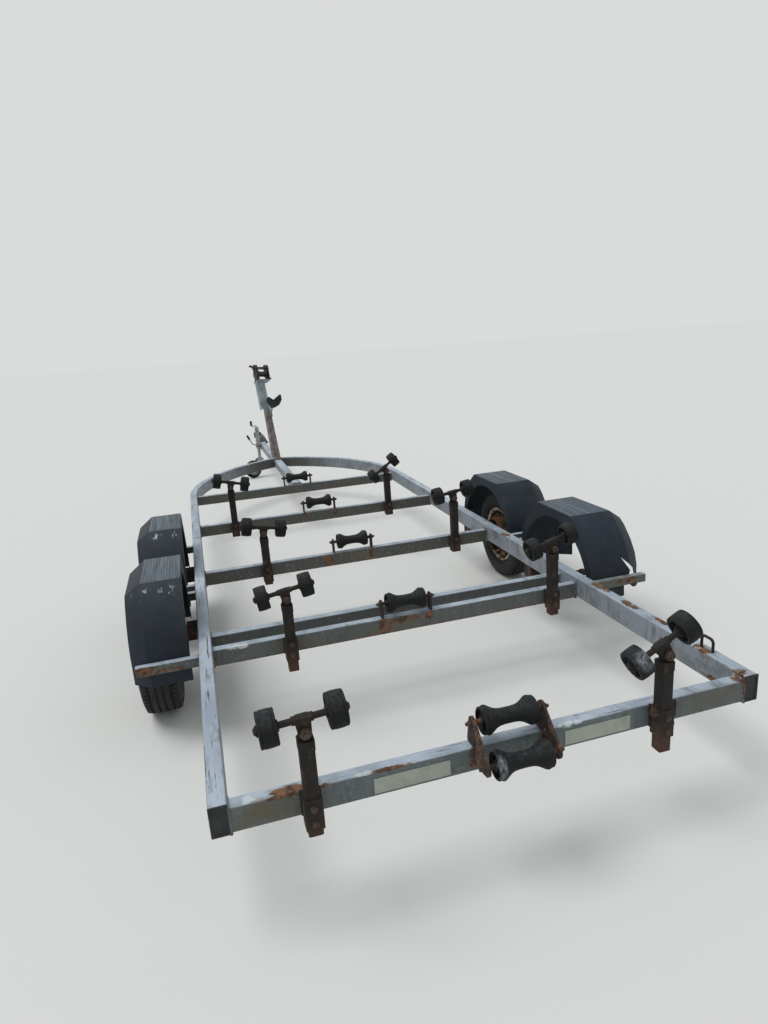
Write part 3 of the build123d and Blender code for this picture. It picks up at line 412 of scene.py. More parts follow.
black_plastic = moulded_polyethylene()
rail_width = 0.050
rail_height = rails_high.z - rails_low.z
cap_thickness = 0.004
cap_wall = 0.007
cap_pocket = 0.7 * cap_thickness
cap_gap = 0.0003
caps = []
for edge_x, inward in ((rails_low.x, 1), (rails_high.x, -1)):
    bpy.ops.object.select_all(action="DESELECT")
    middle = (edge_x + inward * rail_width / 2, stern_y - cap_thickness / 2 - cap_gap,
              (rails_low.z + rails_high.z) / 2)
    bpy.ops.mesh.primitive_cube_add(size=1, location=middle, scale=(rail_width, cap_thickness, rail_height))
    cap = placed_mesh()
    bpy.ops.object.mode_set(mode="EDIT")
    bpy.ops.mesh.select_mode(type="FACE")
    bpy.ops.mesh.select_all(action="DESELECT")
    bpy.ops.object.mode_set(mode="OBJECT")
    for face in cap.data.polygons:
        face.select = face.normal.y < -0.9
    bpy.ops.object.mode_set(mode="EDIT")
    bpy.ops.mesh.inset(thickness=cap_wall)
    bpy.ops.mesh.extrude_region_move(TRANSFORM_OT_translate={"value": (0, cap_pocket, 0)})
    bpy.ops.object.mode_set(mode="OBJECT")
    caps.append(rounded(cap, 0.0012))
dressed(joined(caps), "rail_end_caps", black_plastic, "root")


# Weld seams
# Fillet welds run by hand where each crossmember and guard bar meets a rail, painted with the frame
# and first to rust. Each is a row of small overlapping puddles, as are those of the sections below.

puddle = 0.0052
puddle_pitch = 0.0058
bpy.ops.object.select_all(action="DESELECT")
bpy.ops.mesh.primitive_ico_sphere_add(subdivisions=2, radius=puddle)
weld_puddle = placed_mesh()
bpy.ops.object.mode_set(mode="EDIT")
bpy.ops.mesh.select_all(action="SELECT")
bpy.ops.transform.resize(value=(0.8, 1.0, 0.75))
bpy.ops.object.mode_set(mode="OBJECT")
bpy.ops.object.shade_smooth()


def copy_of(piece, place=Matrix.Identity(4)):
    """A copy with its own mesh, moved by a matrix within its mesh."""
    made = piece.copy()
    made.data = piece.data.copy()
    bpy.context.collection.objects.link(made)
    made.data.transform(place)
    return made


def standing(place, direction):
    """The matrix that stands an X-wise piece at a place, along a direction."""
    return Matrix.Translation(place) @ Vector(direction).to_track_quat("X", "Z").to_matrix().to_4x4()


def weld_seam(start, end):
    """A row of puddles from start to end."""
    along = Vector(end) - Vector(start)
    row = copy_of(weld_puddle)
    only(row)
    repeat = row.modifiers.new("repeat", "ARRAY")
    repeat.use_relative_offset = False
    repeat.use_constant_offset = True
    repeat.constant_offset_displace = (puddle_pitch, 0, 0)
    repeat.count = max(2, round(along.length / puddle_pitch) + 1)
    bpy.ops.object.modifier_apply(modifier=repeat.name)
    row.data.transform(standing(start, along))
    return row


def seams_round(x, y0, y1, z0, z1):
    """Welds up both sides, over and under the end of a bar that meets a rail's face at x."""
    corners = [(x, y0, z0), (x, y0, z1), (x, y1, z1), (x, y1, z0)]
    return [weld_seam(a, b) for a, b in zip(corners, corners[1:] + corners[:1])]


joints = {joint["name"]: joint for joint in frame["joints"]}


def joint_place(name):
    """Where a joint's axis passes."""
    return Vector(joints[name]["pos_m"])


bar_depth = 0.040
bar_low, bar_high = 0.293, 0.363
stern_bar_depth = 0.045
stern_bar_low, stern_bar_high = 0.300, 0.375
brace_ahead = 0.131
brace_low = 0.301
crossmember_spans = [(stern_y, stern_y + stern_bar_depth, stern_bar_low, stern_bar_high)]
for keel in ("keel_2", "keel_3", "keel_4"):
    middle = joint_place(keel + "_spin").y
    crossmember_spans.append((middle - bar_depth / 2, middle + bar_depth / 2, bar_low, bar_high))
brace_y = crossmember_spans[1][0] + brace_ahead
crossmember_spans.append((brace_y, brace_y + bar_depth, brace_low, bar_high))
seams = []
for span in crossmember_spans:
    for x in (rails_low.x + rail_width, rails_high.x - rail_width):
        seams += seams_round(x, *span)
guard_bar_depth = 0.030
guard_bar_height = 0.040
guard_bar_lifts = (0.310, 0.322, 0.322, 0.322)
guard_bar_spans = []
for guard in ("mudguard_rear_left", "mudguard_front_left"):
    low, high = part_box(guard)
    guard_bar_spans += [(low.y - guard_bar_depth, low.y), (high.y, high.y + guard_bar_depth)]
for (y0, y1), lift in zip(guard_bar_spans, guard_bar_lifts):
    for x in (rails_low.x, rails_high.x):
        seams += seams_round(x, y0, y1, lift, lift + guard_bar_height)
weld_paint = chalked_paint_with_painted_light("rusting_weld_seams", 0.52)
dressed(joined(seams), "weld_seams", weld_paint, "root")


# Nuts, bolts and washers
# Hexagon bolts and nuts of plain zinc-plated steel, gone dull brown, hold the sleeves, keel axles,
# mudguards, saddle, winch and clamps. One of each is made along X from its seat, then copied.

def plated_fasteners():
    """Zinc-plated steel with the zinc nearly gone: dull grey metal under brown rust."""
    made, tree, surface = material_named("rusting_zinc_plate")
    rust = patches(tree, 16, 0.32, 0.5, shift=2.0)
    brown = layered(tree, "#2d2521", (patches(tree, 9, 0.4, 0.62), "#5c4433"))
    colour = layered(tree, "#56524d", (rust, brown))
    coated(tree, surface, colour, rust, Metallic=(0.8, 0.0), Roughness=(0.45, 0.9))
    roughened(tree, surface, patches(tree, 4, 0.3, 0.7), 0.2)
    return made


def cylinder(radius, x0, x1, sides, edge):
    """A round or hexagonal bar along X with eased edges."""
    bpy.ops.object.select_all(action="DESELECT")
    bpy.ops.mesh.primitive_cylinder_add(vertices=sides, radius=radius, depth=x1 - x0,
                                        location=((x0 + x1) / 2, 0, 0), rotation=(0, math.pi / 2, 0))
    return rounded(placed_mesh(), edge, 1, 35)


def hexagon(across_flats, thick, stub):
    """A hexagon on a washer with a screw's end, standing along X from its seat at 0."""
    washer = 0.0022
    parts = [cylinder(across_flats * 0.66, 0, washer, 20, 0.0005),
             cylinder(across_flats / math.sqrt(3), washer, washer + thick, 6, 0.0012)]
    if stub:
        parts.append(cylinder(across_flats * 0.3, washer, washer + thick + stub, 12, 0.0006))
    return joined(parts)


def fastened(name, rows):
    """Nuts and bolts copied from rows of (pattern, place, direction) and joined as one piece."""
    copies = [copy_of(pattern, standing(place, direction)) for pattern, place, direction in rows]
    return dressed(joined(copies), name, fastener_steel, "root")


fastener_steel = plated_fasteners()
bolt_m10 = hexagon(0.017, 0.0065, 0.0)
nut_m10 = hexagon(0.017, 0.008, 0.007)
nut_m16 = hexagon(0.0248, 0.0085, 0.004)


# Roller posts
# Square tube in welded sleeves on the crossmembers' rear faces, nipped by two bolts each and capped
# by a collar with the rocker's pivot ear. Bare steel, rusted dark brown with orange bloom. The rear
# right sleeve is clamped from its sides as well, with a packing piece beside it.

def rusted_steel(name, dark, bloom, bloom_low, foot=0.0):
    """Mild steel that was once black: flaking dark scale with brown bloom, redder below the foot."""
    made, tree, surface = material_named(name)
    fleck = patches(tree, 9, 0.56, 0.64, shift=4.0)
    low_down = along_axis(tree, "Z", foot + 0.04, foot - 0.04)
    rust = patches(tree, 60, bloom_low, bloom_low + 0.08, shift=9.0)
    speckle = patches(tree, 7, 0.4, 0.6, shift=6.0)
    colour = layered(tree, dark, (patches(tree, 70, 0.4, 0.62), "#27201c"), (fleck, "#1b1817"),
                     (overlap(tree, low_down, 0.75), "#4f3427"), (overlap(tree, rust, speckle), bloom))
    coated(tree, surface, colour, Roughness=0.85)
    height = maths(tree, "ADD", overlap(tree, fleck, 0.6), overlap(tree, speckle, 0.5))
    roughened(tree, surface, height, 0.6)
    return made


def cuboid(size, middle, edge):
    """A block with rounded edges."""
    bpy.ops.object.select_all(action="DESELECT")
    bpy.ops.mesh.primitive_cube_add(size=1, location=middle, scale=size)
    return rounded(placed_mesh(), edge)


post_steel = rusted_steel("rusted_black_steel", "#120f0d", "#5f412d", 0.6, foot=0.30)
refinished(post_steel, "roller_posts")

post_names = ("l4", "r4", "l3", "r3", "l2", "r2", "l1", "r1")
sleeve_half = 0.025
sleeve_floor = bar_low - 0.005
sleeve_bolt_heights = (0.018, 0.062)
ear_half = 0.0195
seam_inset = 0.004
fixings = []
sleeve_seams = []
for name in post_names:
    pivot = joint_place("rocker_" + name + "_tilt")
    for height in sleeve_bolt_heights:
        fixings.append((bolt_m10, (pivot.x, pivot.y - sleeve_half, sleeve_floor + height), (0, -1, 0)))
    for side in (-1, 1):
        fixings.append((nut_m16, (pivot.x, pivot.y + side * ear_half, pivot.z), (0, side, 0)))
    bottom, top = (stern_bar_low, stern_bar_high) if name in ("l4", "r4") else (bar_low, bar_high)
    for side in (-1, 1):
        x = pivot.x + side * sleeve_half
        sleeve_seams.append(weld_seam((x, pivot.y + sleeve_half, bottom + seam_inset),
                                      (x, pivot.y + sleeve_half, top - seam_inset)))
clamped_x = joint_place("rocker_r4_tilt").x
for side, height in ((-1, 0.361), (1, 0.316)):
    fixings.append((nut_m16, (clamped_x + side * sleeve_half, stern_y - sleeve_half, height), (side, 0, 0)))
fastened("post_fixings", fixings)
dressed(joined(sleeve_seams), "sleeve_seams", post_steel, "root")
packing_size = (0.034, 0.010, 0.056)
packing_middle = (clamped_x + 0.047, stern_y - 0.0045, 0.345)
dressed(cuboid(packing_size, packing_middle, 0.002), "clamp_packing", post_steel, "root")


# Rocker bars
# Each post carries a round bar between two cheeks, free to rock on the pivot bolt, with a roller
# and washers on both sides. The bars are rusted like the posts and end in domed push-on caps.

def turned(profile, steps):
    """A closed outline of (distance along X, radius) turned about the X axis."""
    bpy.ops.object.select_all(action="DESELECT")
    bpy.ops.mesh.primitive_plane_add(size=0.001)
    piece = bpy.context.object
    bpy.ops.object.mode_set(mode="EDIT")
    bpy.ops.mesh.select_mode(type="VERT")
    bpy.ops.mesh.select_all(action="SELECT")
    bpy.ops.mesh.merge(type="CENTER")
    bpy.ops.transform.translate(value=(profile[0][0], 0, profile[0][1]))
    for (x0, r0), (x1, r1) in zip(profile, profile[1:] + profile[:1]):
        bpy.ops.mesh.extrude_region_move(TRANSFORM_OT_translate={"value": (x1 - x0, 0, r1 - r0)})
    bpy.ops.mesh.select_all(action="SELECT")
    bpy.ops.mesh.spin(steps=steps, angle=math.tau, center=(0, 0, 0), axis=(1, 0, 0))
    bpy.ops.mesh.select_all(action="SELECT")
    bpy.ops.mesh.remove_doubles(threshold=0.00001)
    bpy.ops.mesh.normals_make_consistent(inside=False)
    bpy.ops.object.mode_set(mode="OBJECT")
    bpy.ops.object.shade_smooth_by_angle(angle=math.radians(35))
    return piece


def joint_axis(name):
    """The direction that a joint turns about."""
    return Vector(joints[name]["axis"])


rocker_steel = rusted_steel("rusted_rocker_bars", "#201b19", "#5a3f2c", 0.6)
bar_half_length = 0.1165
dome_outline = [(0.0, 0.0004), (0.0, 0.0125), (0.0012, 0.0125), (0.0022, 0.0098), (0.0048, 0.0088),
                (0.0062, 0.0065), (0.0066, 0.0004)]
push_cap = turned(dome_outline, 24)
refinished(rocker_steel, *["rocker_" + name for name in post_names])
for name in post_names:
    spin = "rollers_" + name + "_spin"
    middle, along = joint_place(spin), joint_axis(spin)
    ends = [copy_of(push_cap, standing(middle + along * side * bar_half_length, along * side))
            for side in (-1, 1)]
    dressed(joined(ends), "bar_caps_" + name, rocker_steel, "rocker_" + name)
bpy.data.objects.remove(push_cap)


# Side rollers
# Moulded black rubber wheels, 96 mm across, turned up slightly at the rims, with a pocket on each
# side crossed by six short webs between the hub and the tread.

def worn_rubber(name, base, wear, wear_low, scuffed=()):
    """Carbon-black rubber, matt, greyed where hulls and weather have rubbed it."""
    made, tree, surface = material_named(name)
    colour = layered(tree, base, (patches(tree, 28, wear_low, wear_low + 0.12, shift=8.0), wear))
    if scuffed:
        streaky = patches(tree, 9, 0.36, 0.62, stretch=(1, 1, 0.4), shift=3.0)
        colour = layered(tree, colour, (overlap(tree, near_spots(tree, scuffed), streaky), "#8d9599"))
    dust = overlap(tree, facing_up(tree, 0.2, 1.0), patches(tree, 12, 0.4, 0.7))
    colour = layered(tree, colour, (overlap(tree, dust, 0.35), "#4a5155"))
    coated(tree, surface, colour, Roughness=0.72)
    surface.inputs["Specular IOR Level"].default_value = 0.35
    roughened(tree, surface, patches(tree, 4, 0.3, 0.7), 0.3)
    return made


def mirrored_profile(half):
    """The full outline from its right half, listed from bore to crown."""
    return half + [(-x, r) for x, r in reversed(half)]


def round_the_axis(piece, count):
    """Copies of a piece spaced evenly about the X axis, joined."""
    copies = [copy_of(piece, Matrix.Rotation(math.tau * i / count, 4, "X")) for i in range(count)]
    bpy.data.objects.remove(piece)
    return joined(copies)


def webbed_wheel(half, steps, web_size, web_across, web_out):
    """A wheel turned from its right half, with six webs round each side."""
    parts = [turned(mirrored_profile(half), steps)]
    for side in (-1, 1):
        parts.append(round_the_axis(cuboid(web_size, (side * web_across, 0, web_out), 0.0008), 6))
    return joined(parts)


# The rear right pair is scuffed pale at its left roller.
worn_along = joint_axis("rollers_r4_spin")
worn_along *= math.copysign(1, worn_along.x)
worn_middle = joint_place("rollers_r4_spin") - worn_along * 0.088
roller_scuffs = [(worn_middle + Vector((0, -0.03, 0.02)), Vector((0.04, 0.03, 0.04)))]
roller_rubber = worn_rubber("worn_roller_rubber", "#07090b", "#1c2226", 0.6, roller_scuffs)

roller_spacing = 0.176
roller_half = [(0.012, 0.0092), (0.024, 0.0092), (0.024, 0.016), (0.0225, 0.018), (0.013, 0.0195),
               (0.013, 0.0325), (0.0225, 0.035), (0.024, 0.0375), (0.024, 0.0440), (0.0218, 0.0468),
               (0.0175, 0.0473), (0.0166, 0.0463), (0.0148, 0.0463), (0.0139, 0.0476), (0.005, 0.0480)]
side_roller = webbed_wheel(roller_half, 56, (0.010, 0.004, 0.017), 0.0165, 0.0258)
for name in post_names:
    spin = "rollers_" + name + "_spin"
    middle, along = joint_place(spin), joint_axis(spin)
    pair = joined([copy_of(side_roller, standing(middle + along * side * roller_spacing / 2, along))
                   for side in (-1, 1)])
    dressed(pair, "roller_pair_" + name, roller_rubber, "rollers_" + name)
    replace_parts(pair, "rollers_" + name)
bpy.data.objects.remove(side_roller)


# Keel rollers
# Waisted black rubber rollers on through axles between upright plates. Each end is a stepped cup
# that centres the keel, and the faces are hollowed round the bore.

keel_scuffs = [(joint_place("keel_lower_spin") + Vector((-0.074, -0.03, 0.012)),
                Vector((0.016, 0.03, 0.045)))]
keel_rubber = worn_rubber("keel_roller_rubber", "#07090b", "#1d2327", 0.6, keel_scuffs)
refinished(rusted_steel("dark_rusted_plate", "#2c2420", "#644530", 0.56), "keel_brackets")
refinished(rusted_steel("orange_rusted_plate", "#3a2d26", "#73503a", 0.5), "rear_cradle")
keel_half = [(0.068, 0.0082), (0.0825, 0.0082), (0.0825, 0.014), (0.073, 0.016), (0.073, 0.029),
             (0.0825, 0.033), (0.0825, 0.0375), (0.0805, 0.0395), (0.0705, 0.0395), (0.0695, 0.0415),
             (0.0665, 0.0420), (0.062, 0.0408), (0.052, 0.0345), (0.042, 0.0285), (0.030, 0.0245),
             (0.016, 0.0232), (0.006, 0.0230)]
keel_body = turned(mirrored_profile(keel_half), 56)
plate_half_gap = 0.111
axle_nuts = []
for name in ("keel_2", "keel_3", "keel_4", "keel_5", "keel_upper", "keel_lower"):
    middle = joint_place(name + "_spin")
    roller = copy_of(keel_body, Matrix.Translation(middle))
    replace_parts(dressed(roller, name + "_rubber", keel_rubber, name), name)
    for side in (-1, 1):
        axle_nuts.append((nut_m10, (middle.x + side * plate_half_gap, middle.y, middle.z), (side, 0, 0)))
fastened("keel_axle_nuts", axle_nuts)
bpy.data.objects.remove(keel_body)


# Mudguards
# Faceted guards of moulded charcoal plastic bolted to bars before and behind. Their flat tops are
# worn pale by feet, with fine fore-and-aft ribs, and the rear right one has lost a lower corner.

# x, y, z, then reach along each
scuff_rows = [
    (-1045, 1125, 580, 50, 60, 26), (-940, 1125, 580, 42, 60, 24), (-1010, 1920, 585, 40, 60, 30),
    (-908, 1925, 590, 30, 60, 34), (-1035, 1880, 510, 24, 60, 24),
]


def moulded_plastic():
    """Moulded polypropylene, UV-greyed: charcoal blue, paler and streaked where it is flat on top."""
    made, tree, surface = material_named("greyed_mudguard_plastic")
    streaks = patches(tree, 22, 0.35, 0.68, stretch=(1, 0.06, 1))
    scuffs = overlap(tree, near_spots(tree, spots_from(scuff_rows)),
                     patches(tree, 16, 0.585, 0.62, stretch=(1.3, 0.5, 0.4), shift=9.5))
    dust = overlap(tree, facing_up(tree, -0.2, 0.9), patches(tree, 60, 0.45, 0.8, shift=6.0))
    colour = layered(tree, "#0e1822", (patches(tree, 300, 0.35, 0.65), "#182531"),
                     (facing_up(tree, 0.93, 0.98), layered(tree, "#424b52", (streaks, "#6c7780"))),
                     (scuffs, "#aeb7ba"), (overlap(tree, dust, 0.2), "#4d565c"))
    coated(tree, surface, colour, Roughness=0.62)
    surface.inputs["Specular IOR Level"].default_value = 0.35
    roughened(tree, surface, patches(tree, 6, 0.3, 0.7), 0.2)
    return made


guard_plastic = moulded_plastic()
rib_count = 13
rib_width = 0.007
rib_height = 0.0014
rib_length = 0.304
rib_margin = 0.012
rib_spread = 0.020
guard_wall = 0.005
guard_bolts = []
for name in ("mudguard_rear_left", "mudguard_front_left", "mudguard_rear_right", "mudguard_front_right"):
    low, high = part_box(name)
    shell = copy_of(cad[name])
    shell.parent = None
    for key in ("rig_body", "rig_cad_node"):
        del shell[key]
    only(shell)
    bpy.ops.object.mode_set(mode="EDIT")
    bpy.ops.mesh.select_all(action="SELECT")
    bpy.ops.mesh.remove_doubles(threshold=0.00001)
    bpy.ops.mesh.dissolve_limited(angle_limit=math.radians(1))
    bpy.ops.object.mode_set(mode="OBJECT")
    rounded(shell, 0.0015, 2, 20)
    side = 1 if low.x > centre_x else -1
    inner_x = low.x if side > 0 else high.x
    middle_y = (low.y + high.y) / 2
    flat_width = 0.210 if side > 0 else 0.154
    ribs = [shell]
    for i in range(rib_count):
        if i == rib_count // 2:
            continue  # a smooth band between two sets of ribs
        x = inner_x + side * (rib_margin + (flat_width - rib_spread) * i / (rib_count - 1))
        ribs.append(cuboid((rib_width, rib_length, 2 * rib_height), (x, middle_y, high.z), 0.0006))
    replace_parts(dressed(joined(ribs), name + "_dressed", guard_plastic, "root"), name)
    for y, facing in ((low.y + guard_wall, 1), (high.y - guard_wall, -1)):
        bolt_height = 0.331 if facing > 0 and "rear" in name else 0.342
        for share in (0.25, 0.75):
            x = inner_x + side * flat_width * share
            guard_bolts.append((nut_m10, (x, y, bolt_height), (0, facing, 0)))
# One more hangs under the outer end of the rear right guard bar.
guard_bolts.append((nut_m16, on_frame(1104, 959, guard_bar_lifts[0] * 1000 + 0.5), (0, 0, -1)))
fastened("mudguard_bolts", guard_bolts)


# Road wheels
# Three steel wheels with car tyres on brake drums: a cream disc with eight vent holes, four wheel
# nuts and a pressed grease cap. The fourth is missing, and its stub axle stands bare.

def cream_rim_paint():
    """Baked cream enamel on pressed steel, flaking to rust round the holes and the rim."""
    made, tree, surface = material_named("cream_rim_enamel")
    rust = patches(tree, 48, 0.5, 0.56, shift=1.0)
    colour = layered(tree, "#b5ab93", (patches(tree, 90, 0.4, 0.65), "#9c9480"), (rust, rust_colour(tree)))
    coated(tree, surface, colour, rust, Roughness=(0.45, 0.9))
    roughened(tree, surface, rust, 0.4)
    return made


def weathered_tyre_rubber():
    """Tyre compound: near black, dusty brown-grey on the walls, fine surface cracking as bump."""
    made, tree, surface = material_named("weathered_tyre_rubber")
    colour = layered(tree, "#191a1b", (patches(tree, 120, 0.4, 0.7), "#2c2b29"),
                     (patches(tree, 20, 0.6, 0.75, shift=5.0), "#4a4640"))
    coated(tree, surface, colour, Roughness=0.85)
    roughened(tree, surface, patches(tree, 5, 0.3, 0.7), 0.3)
    return made


rim_paint = cream_rim_paint()
tyre_rubber = weathered_tyre_rubber()
drum_steel = rusted_steel("rusted_brake_drum", "#33291f", "#7d4d2c", 0.45)

wall = [(0.053, 0.1535), (0.0535, 0.168), (0.066, 0.181), (0.0745, 0.196), (0.0775, 0.213), (0.0765, 0.216),
        (0.0772, 0.219), (0.074, 0.236), (0.069, 0.246), (0.062, 0.2525), (0.046, 0.2565), (0.045, 0.2515),
        (0.039, 0.2515), (0.038, 0.2600), (0.018, 0.2610), (0.017, 0.2545), (0.010, 0.2545), (0.009, 0.2610)]
carcass = turned([(-x, r) for x, r in reversed(wall)] + wall, 96)
block_count = 72
block_middle = Vector((0.056, 0, 0.2525))
block_tilt = math.radians(14)
block_stagger = 0.05
shoulder = cuboid((0.022, 0.0135, 0.010), block_middle, 0.0012)
shoulder.data.transform(Matrix.Translation(block_middle) @ Matrix.Rotation(block_tilt, 4, "Y")
                        @ Matrix.Translation(-block_middle))
other_shoulder = copy_of(shoulder, Matrix.Rotation(math.pi, 4, "Z") @ Matrix.Rotation(block_stagger, 4, "X"))
road_tyre = joined([carcass] + [round_the_axis(block, block_count) for block in (shoulder, other_shoulder)])

rim_outline = [(-0.059, 0.164), (-0.059, 0.160), (-0.053, 0.148), (-0.024, 0.148), (-0.018, 0.134),
               (0.004, 0.134), (0.006, 0.125), (-0.003, 0.112), (-0.006, 0.102), (-0.020, 0.090),
               (-0.020, 0.036), (-0.0155, 0.036), (-0.0155, 0.089), (-0.002, 0.100), (0.001, 0.113),
               (0.010, 0.126), (0.012, 0.134), (0.026, 0.134), (0.030, 0.148), (0.053, 0.148), (0.059, 0.160),
               (0.059, 0.164), (0.055, 0.164), (0.053, 0.153), (0.033, 0.153), (0.029, 0.1385),
               (-0.020, 0.1385), (-0.026, 0.153), (-0.053, 0.153), (-0.055, 0.164)]
road_rim = turned(rim_outline, 72)
vent_circle = 0.1085
vents = cylinder(0.010, -0.03, 0.05, 20, 0.0004)
vents.data.transform(Matrix.Translation((0, 0, vent_circle)))
vents = round_the_axis(vents, 8)
only(road_rim)
cut = road_rim.modifiers.new("vents", "BOOLEAN")
cut.object = vents
cut.operation = "DIFFERENCE"
bpy.ops.object.modifier_apply(modifier=cut.name)
bpy.data.objects.remove(vents)
bpy.ops.object.shade_smooth_by_angle(angle=math.radians(35))

drum_outline = [(-0.093, 0.094), (-0.093, 0.105), (-0.060, 0.105), (-0.058, 0.108), (-0.054, 0.108),
                (-0.052, 0.105), (-0.028, 0.105), (-0.0205, 0.098), (-0.0205, 0.034), (-0.030, 0.034),
                (-0.030, 0.094)]
brake_drum = turned(drum_outline, 64)
cap_outline = [(-0.030, 0.034), (0.010, 0.034), (0.012, 0.031), (0.014, 0.0265), (0.044, 0.0255),
               (0.050, 0.021), (0.053, 0.012), (0.053, 0.0004), (0.047, 0.0004), (0.046, 0.020),
               (0.010, 0.021), (0.006, 0.0165), (-0.030, 0.0165)]
grease_cap = turned(cap_outline, 40)
nut_circle = 0.050
wheel_nut = joined([cylinder(0.0105, -0.0155, 0.000, 6, 0.0015), cylinder(0.006, -0.004, 0.0065, 16, 0.0008)])
wheel_nut.data.transform(Matrix.Rotation(math.radians(45), 4, "X") @ Matrix.Translation((0, 0, nut_circle)))
wheel_nuts = round_the_axis(wheel_nut, 4)
valve = cylinder(0.003, -0.02, 0.024, 12, 0.0006)
valve.data.transform(Matrix.Translation((0.02, 0, 0.1465)))

# pattern, name, finish, slot, and the node that it replaces
wheel_parts = ((road_tyre, "tyre_{}_tread", tyre_rubber, "tyre_rubber", "tyre_{}"),
               (road_rim, "rim_{}", rim_paint, "wheel_paint", "wheel_{}"),
               (brake_drum, "brake_drum_{}", drum_steel, "wheel_paint", None),
               (grease_cap, "grease_cap_{}", fastener_steel, "wheel_paint", None),
               (wheel_nuts, "wheel_nuts_{}", fastener_steel, "wheel_paint", None),
               (valve, "tyre_valve_{}", black_plastic, "tyre_rubber", None))
for name in ("rear_left", "front_left", "front_right"):
    body = "road_wheel_" + name
    middle = joint_place(body + "_spin")
    place = standing(middle, (1 if middle.x > centre_x else -1, 0, 0))
    for pattern, part_name, finish, slot, replaced in wheel_parts:
        part = dressed(copy_of(pattern, place), part_name.format(name), finish, body)
        if replaced:
            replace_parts(part, replaced.format(name))
for row in wheel_parts:
    bpy.data.objects.remove(row[0])


# Suspension units
# Rubber torsion housings welded under the rails, each with a swing arm and a stepped stub axle.
# Painted black once, now rusting. The bare rear right axle still has its thread and castle nut.

refinished(rusted_steel("rusted_suspension_steel", "#1f1c1b", "#6a4530", 0.52), "suspension_units")
arm_length = 0.130
housing_half = 0.035
housing_seam = 0.044
rear_axle = joint_place("road_wheel_rear_left_spin")
suspension_seams = []
for station_y in (rear_axle.y, joint_place("road_wheel_front_left_spin").y):
    for outer_x, inward in ((rails_low.x, 1), (rails_high.x, -1)):
        for side in (-1, 1):
            y = station_y + arm_length + side * housing_half
            suspension_seams.append(weld_seam((outer_x, y, rails_low.z),
                                              (outer_x + inward * housing_seam, y, rails_low.z)))
dressed(joined(suspension_seams), "suspension_seams", weld_paint, "root")

thread_start, thread_end = 0.189, 0.2095
thread_pitch = 0.0018
thread_bore, thread_root, thread_crest = 0.0115, 0.0119, 0.0130
thread_outline = [(thread_start, thread_bore)]
for turn_number in range(11):
    start = thread_start + thread_pitch * turn_number
    thread_outline += [(start, thread_root), (start + thread_pitch / 2, thread_crest)]
thread_outline += [(thread_end, thread_root), (thread_end, thread_bore)]
axle_thread = turned(thread_outline, 32)
castle_nut = cylinder(0.0205, 0.187, 0.199, 6, 0.0012)
castellation = cuboid((0.006, 0.0075, 0.006), (0.202, 0, 0.0165), 0.0006)
bare_axle_nut = joined([axle_thread, castle_nut, round_the_axis(castellation, 6)])
bare_axle_nut.data.transform(Matrix.Translation((rails_high.x, rear_axle.y, rear_axle.z)))
dressed(bare_axle_nut, "bare_axle_nut", fastener_steel, "root")


# Coupling
# A cast overrun head on a sliding shaft, with a rubber gaiter, a pressed saddle bolted to the
# drawbar and a hand brake lever along its right side.

def cast_black_metal():
    """Sand-cast iron under worn black paint: a slightly grainy satin with rust in its lows."""
    made, tree, surface = material_named("painted_cast_iron")
    rust = patches(tree, 40, 0.6, 0.68, shift=3.0)
    colour = layered(tree, "#1c1e20", (patches(tree, 60, 0.4, 0.65), "#2b2e31"), (rust, rust_colour(tree)))
    coated(tree, surface, colour, rust, Roughness=(0.5, 0.9))
    roughened(tree, surface, patches(tree, 3, 0.3, 0.7), 0.3)
    return made


refinished(cast_black_metal(), "coupling", "winch")
drawbar_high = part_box("drawbar")[1]
saddle_half = 0.042
saddle_bolt_drop = 0.012
fastened("coupling_bolts",
         [(nut_m16, (centre_x + side * saddle_half, drawbar_high.y - back, drawbar_high.z - saddle_bolt_drop),
           (side, 0, 0)) for back in (0.255, 0.05) for side in (-1, 1)])

shaft_z = drawbar_high.z + 0.024
gaiter_start = drawbar_high.y + 0.0085
gaiter_length = 0.101
gaiter_folds = 7
gaiter_bore, gaiter_valley, gaiter_crest = 0.0262, 0.0335, 0.0385
pitch = gaiter_length / gaiter_folds
gaiter_outline = [(0, gaiter_bore), (0, gaiter_valley)]
for i in range(gaiter_folds):
    start = gaiter_length * i / gaiter_folds
    gaiter_outline += [(start + pitch * 0.15, gaiter_valley), (start + pitch * 0.45, gaiter_crest),
                       (start + pitch * 0.6, gaiter_crest), (start + pitch * 0.9, gaiter_valley)]
gaiter_outline += [(gaiter_length, gaiter_valley), (gaiter_length, gaiter_bore)]
gaiter = turned(gaiter_outline, 48)
gaiter.data.transform(standing((centre_x, gaiter_start, shaft_z), (0, 1, 0)))
dressed(gaiter, "coupling_gaiter", roller_rubber, "root")


def ribbed_grip(name, start, end, radius):
    """A black plastic sleeve with moulded ribs, pushed over a rod from start to end."""
    length = (end - start).length
    lip = 0.0008
    ribs = round(length / 0.008)
    outline = [(-lip, radius * 0.5), (-lip, radius)]
    for i in range(ribs):
        x = length * (i + 0.5) / ribs
        outline += [(x - 0.0022, radius), (x - 0.0012, radius + 0.0012), (x + 0.0012, radius + 0.0012),
                    (x + 0.0022, radius)]
    outline += [(length, radius), (length + lip, radius * 0.9), (length + lip, radius * 0.5)]
    sleeve = turned(outline, 28)
    sleeve.data.transform(standing(start, end - start))
    return dressed(sleeve, name, black_plastic, "root")


lever_across, lever_z = 0.060, 0.366
lever_end = Vector((centre_x + lever_across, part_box("coupling")[1].y, lever_z))
ribbed_grip("brake_lever_grip", lever_end - Vector((0, 0.082, 0)), lever_end, 0.0123)


# Winch and bow stop
# A leaning tapered post, rusted at its foot, with a hand winch on its head that is black like the
# coupling, and a black rubber V block that takes the boat's bow.

